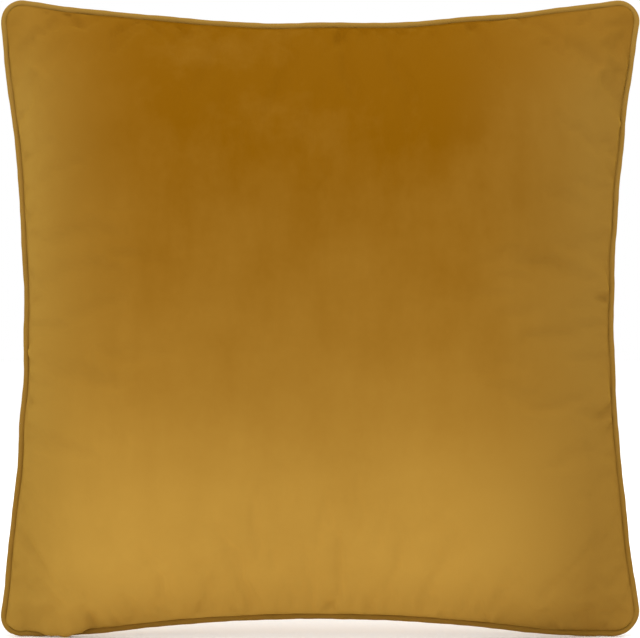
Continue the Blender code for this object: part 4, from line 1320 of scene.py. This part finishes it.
def pull():
    """A flat tab with a window and a raised rim, made of loops from its outer edge to its window."""
    angle = np.linspace(0, 2 * math.pi, 96, endpoint=False)
    bar = PULL_BAR / 2
    corner = math.hypot(TUNNEL_HALF + BRIDGE_WALL, TUNNEL_HEIGHT / 2 + BRIDGE_WALL)
    window_end, window_half = corner + GAP, BRIDGE_HALF_WIDTH + GAP
    middle = (bar + window_end) / 2

    def loop(low, high, half_low, half_high, power):
        """A rounded four-sided loop from t = low to high, its half width half_low to half_high."""
        reach, side = powered(np.cos(angle), 2 / power), powered(np.sin(angle), 2 / power)
        t = (low + high) / 2 + (high - low) / 2 * reach
        share = np.clip((t - low) / (high - low), 0, 1)
        return np.column_stack([t, side * (half_low + (half_high - half_low) * share)])

    def shrunk(points, by):
        """A loop drawn in by about this much, towards the middle of the tab."""
        inner = points.copy()
        inner[:, 0] = middle + (points[:, 0] - middle) * (1 - by / PULL_REACH)
        inner[:, 1] *= 1 - by / PULL_HALF_WIDTH
        return inner

    edge = loop(-bar, PULL_LENGTH, PULL_NECK_HALF, PULL_HALF_WIDTH, 5.0)
    window = loop(bar, window_end, window_half, window_half, 6.0)
    rim, floor_edge = (shrunk(edge, by) for by in PULL_RIM)
    floor_edge[:, 0] = np.clip(floor_edge[:, 0], -bar * 0.4, None)
    rim[:, 0] = np.clip(rim[:, 0], -bar * 0.7, None)
    half, floor = PULL_THICKNESS / 2, PULL_THICKNESS / 2 - PULL_DISH
    loops = [(edge, half), (rim, half), (floor_edge, floor), (window, floor)]
    loops += [(window, -floor), (floor_edge, -floor), (rim, -half), (edge, -half)]
    points = np.vstack([np.column_stack([flat, 0 * angle + PULL_AXIS + level]) for flat, level in loops])
    faces = grid_faces(len(loops), len(angle), True, True).tolist()
    settle(joined("slider_pull", [(points, faces)], BRASS, 0.00008), "pull", "zip_metal", "zip_pull")


# ---------------------------------------------------------------- making it


PANEL_VELVET = panel_velvet()
PIPING_VELVET = piping_velvet()
COTTON = cotton_cord()
THREADS = {
    "thread": spun_thread("mustard_thread", (0.240, 0.105, 0.010), (0.420, 0.215, 0.035)),
    "pad_thread": spun_thread("white_thread", (0.70, 0.69, 0.66), (0.90, 0.90, 0.88)),
}
TAPE = woven_tape()
NYLON = nylon()
BRASS = brass()
PAD_COTTON = plain_cotton()
FIBRE = fibre()
SATIN = satin()

back_panel = cover()
piping()
zip_stitching(back_panel)
label(back_panel)
pad()
tapes()
coils()
stops()
slider()
pull()


# ---------------------------------------------------------------- studio


DISTANCE = 2.2
VIEW_WIDTH = 0.5414
VIEW_HEIGHT = 0.268
SENSOR = 36.0
FLOOR_HALF = 14.0
FLOOR_DROP = 0.0005

camera = bpy.data.objects.new("camera", bpy.data.cameras.new("camera"))
camera.data.sensor_width = SENSOR
camera.data.lens = SENSOR * DISTANCE / VIEW_WIDTH
camera.location = (0, -DISTANCE, VIEW_HEIGHT)
camera.rotation_euler = (math.pi / 2, 0, 0)
bpy.context.scene.collection.objects.link(camera)
bpy.context.scene.camera = camera
bpy.context.scene.view_settings.view_transform = "Standard"


def soft_light(name, place, size, power):
    """A square light of this size and power, turned to the pillow's middle."""
    light = bpy.data.lights.new(name, "AREA")
    light.shape, light.size, light.energy = "SQUARE", size, power
    made = bpy.data.objects.new(name, light)
    made.location = place
    made.rotation_euler = (Vector((0, 0, HEIGHT / 2)) - Vector(place)).to_track_quat("-Z", "Y").to_euler()
    bpy.context.scene.collection.objects.link(made)


soft_light("above", (0.2, -0.8, 2.4), 1.6, 24)
soft_light("front_left", (-2.0, -2.4, 0.9), 1.5, 16)
soft_light("behind", (0.8, 2.4, 1.6), 1.8, 22)

world = bpy.data.worlds.new("studio")
world.use_nodes = True
world.node_tree.nodes["Background"].inputs["Color"].default_value = (1, 1, 1, 1)
world.node_tree.nodes["Background"].inputs["Strength"].default_value = 1.0
bpy.context.scene.world = world

corners = [(x * FLOOR_HALF, y * FLOOR_HALF, -FLOOR_DROP) for x, y in ((-1, -1), (1, -1), (1, 1), (-1, 1))]
pale = Finish("pale_floor", Base_Color=(0.95, 0.95, 0.95), Roughness=0.9)
pale.also(Emission_Color=(1, 1, 1), Emission_Strength=0.09)
floor = shape("floor", corners, [[0, 1, 2, 3]], pale.material)
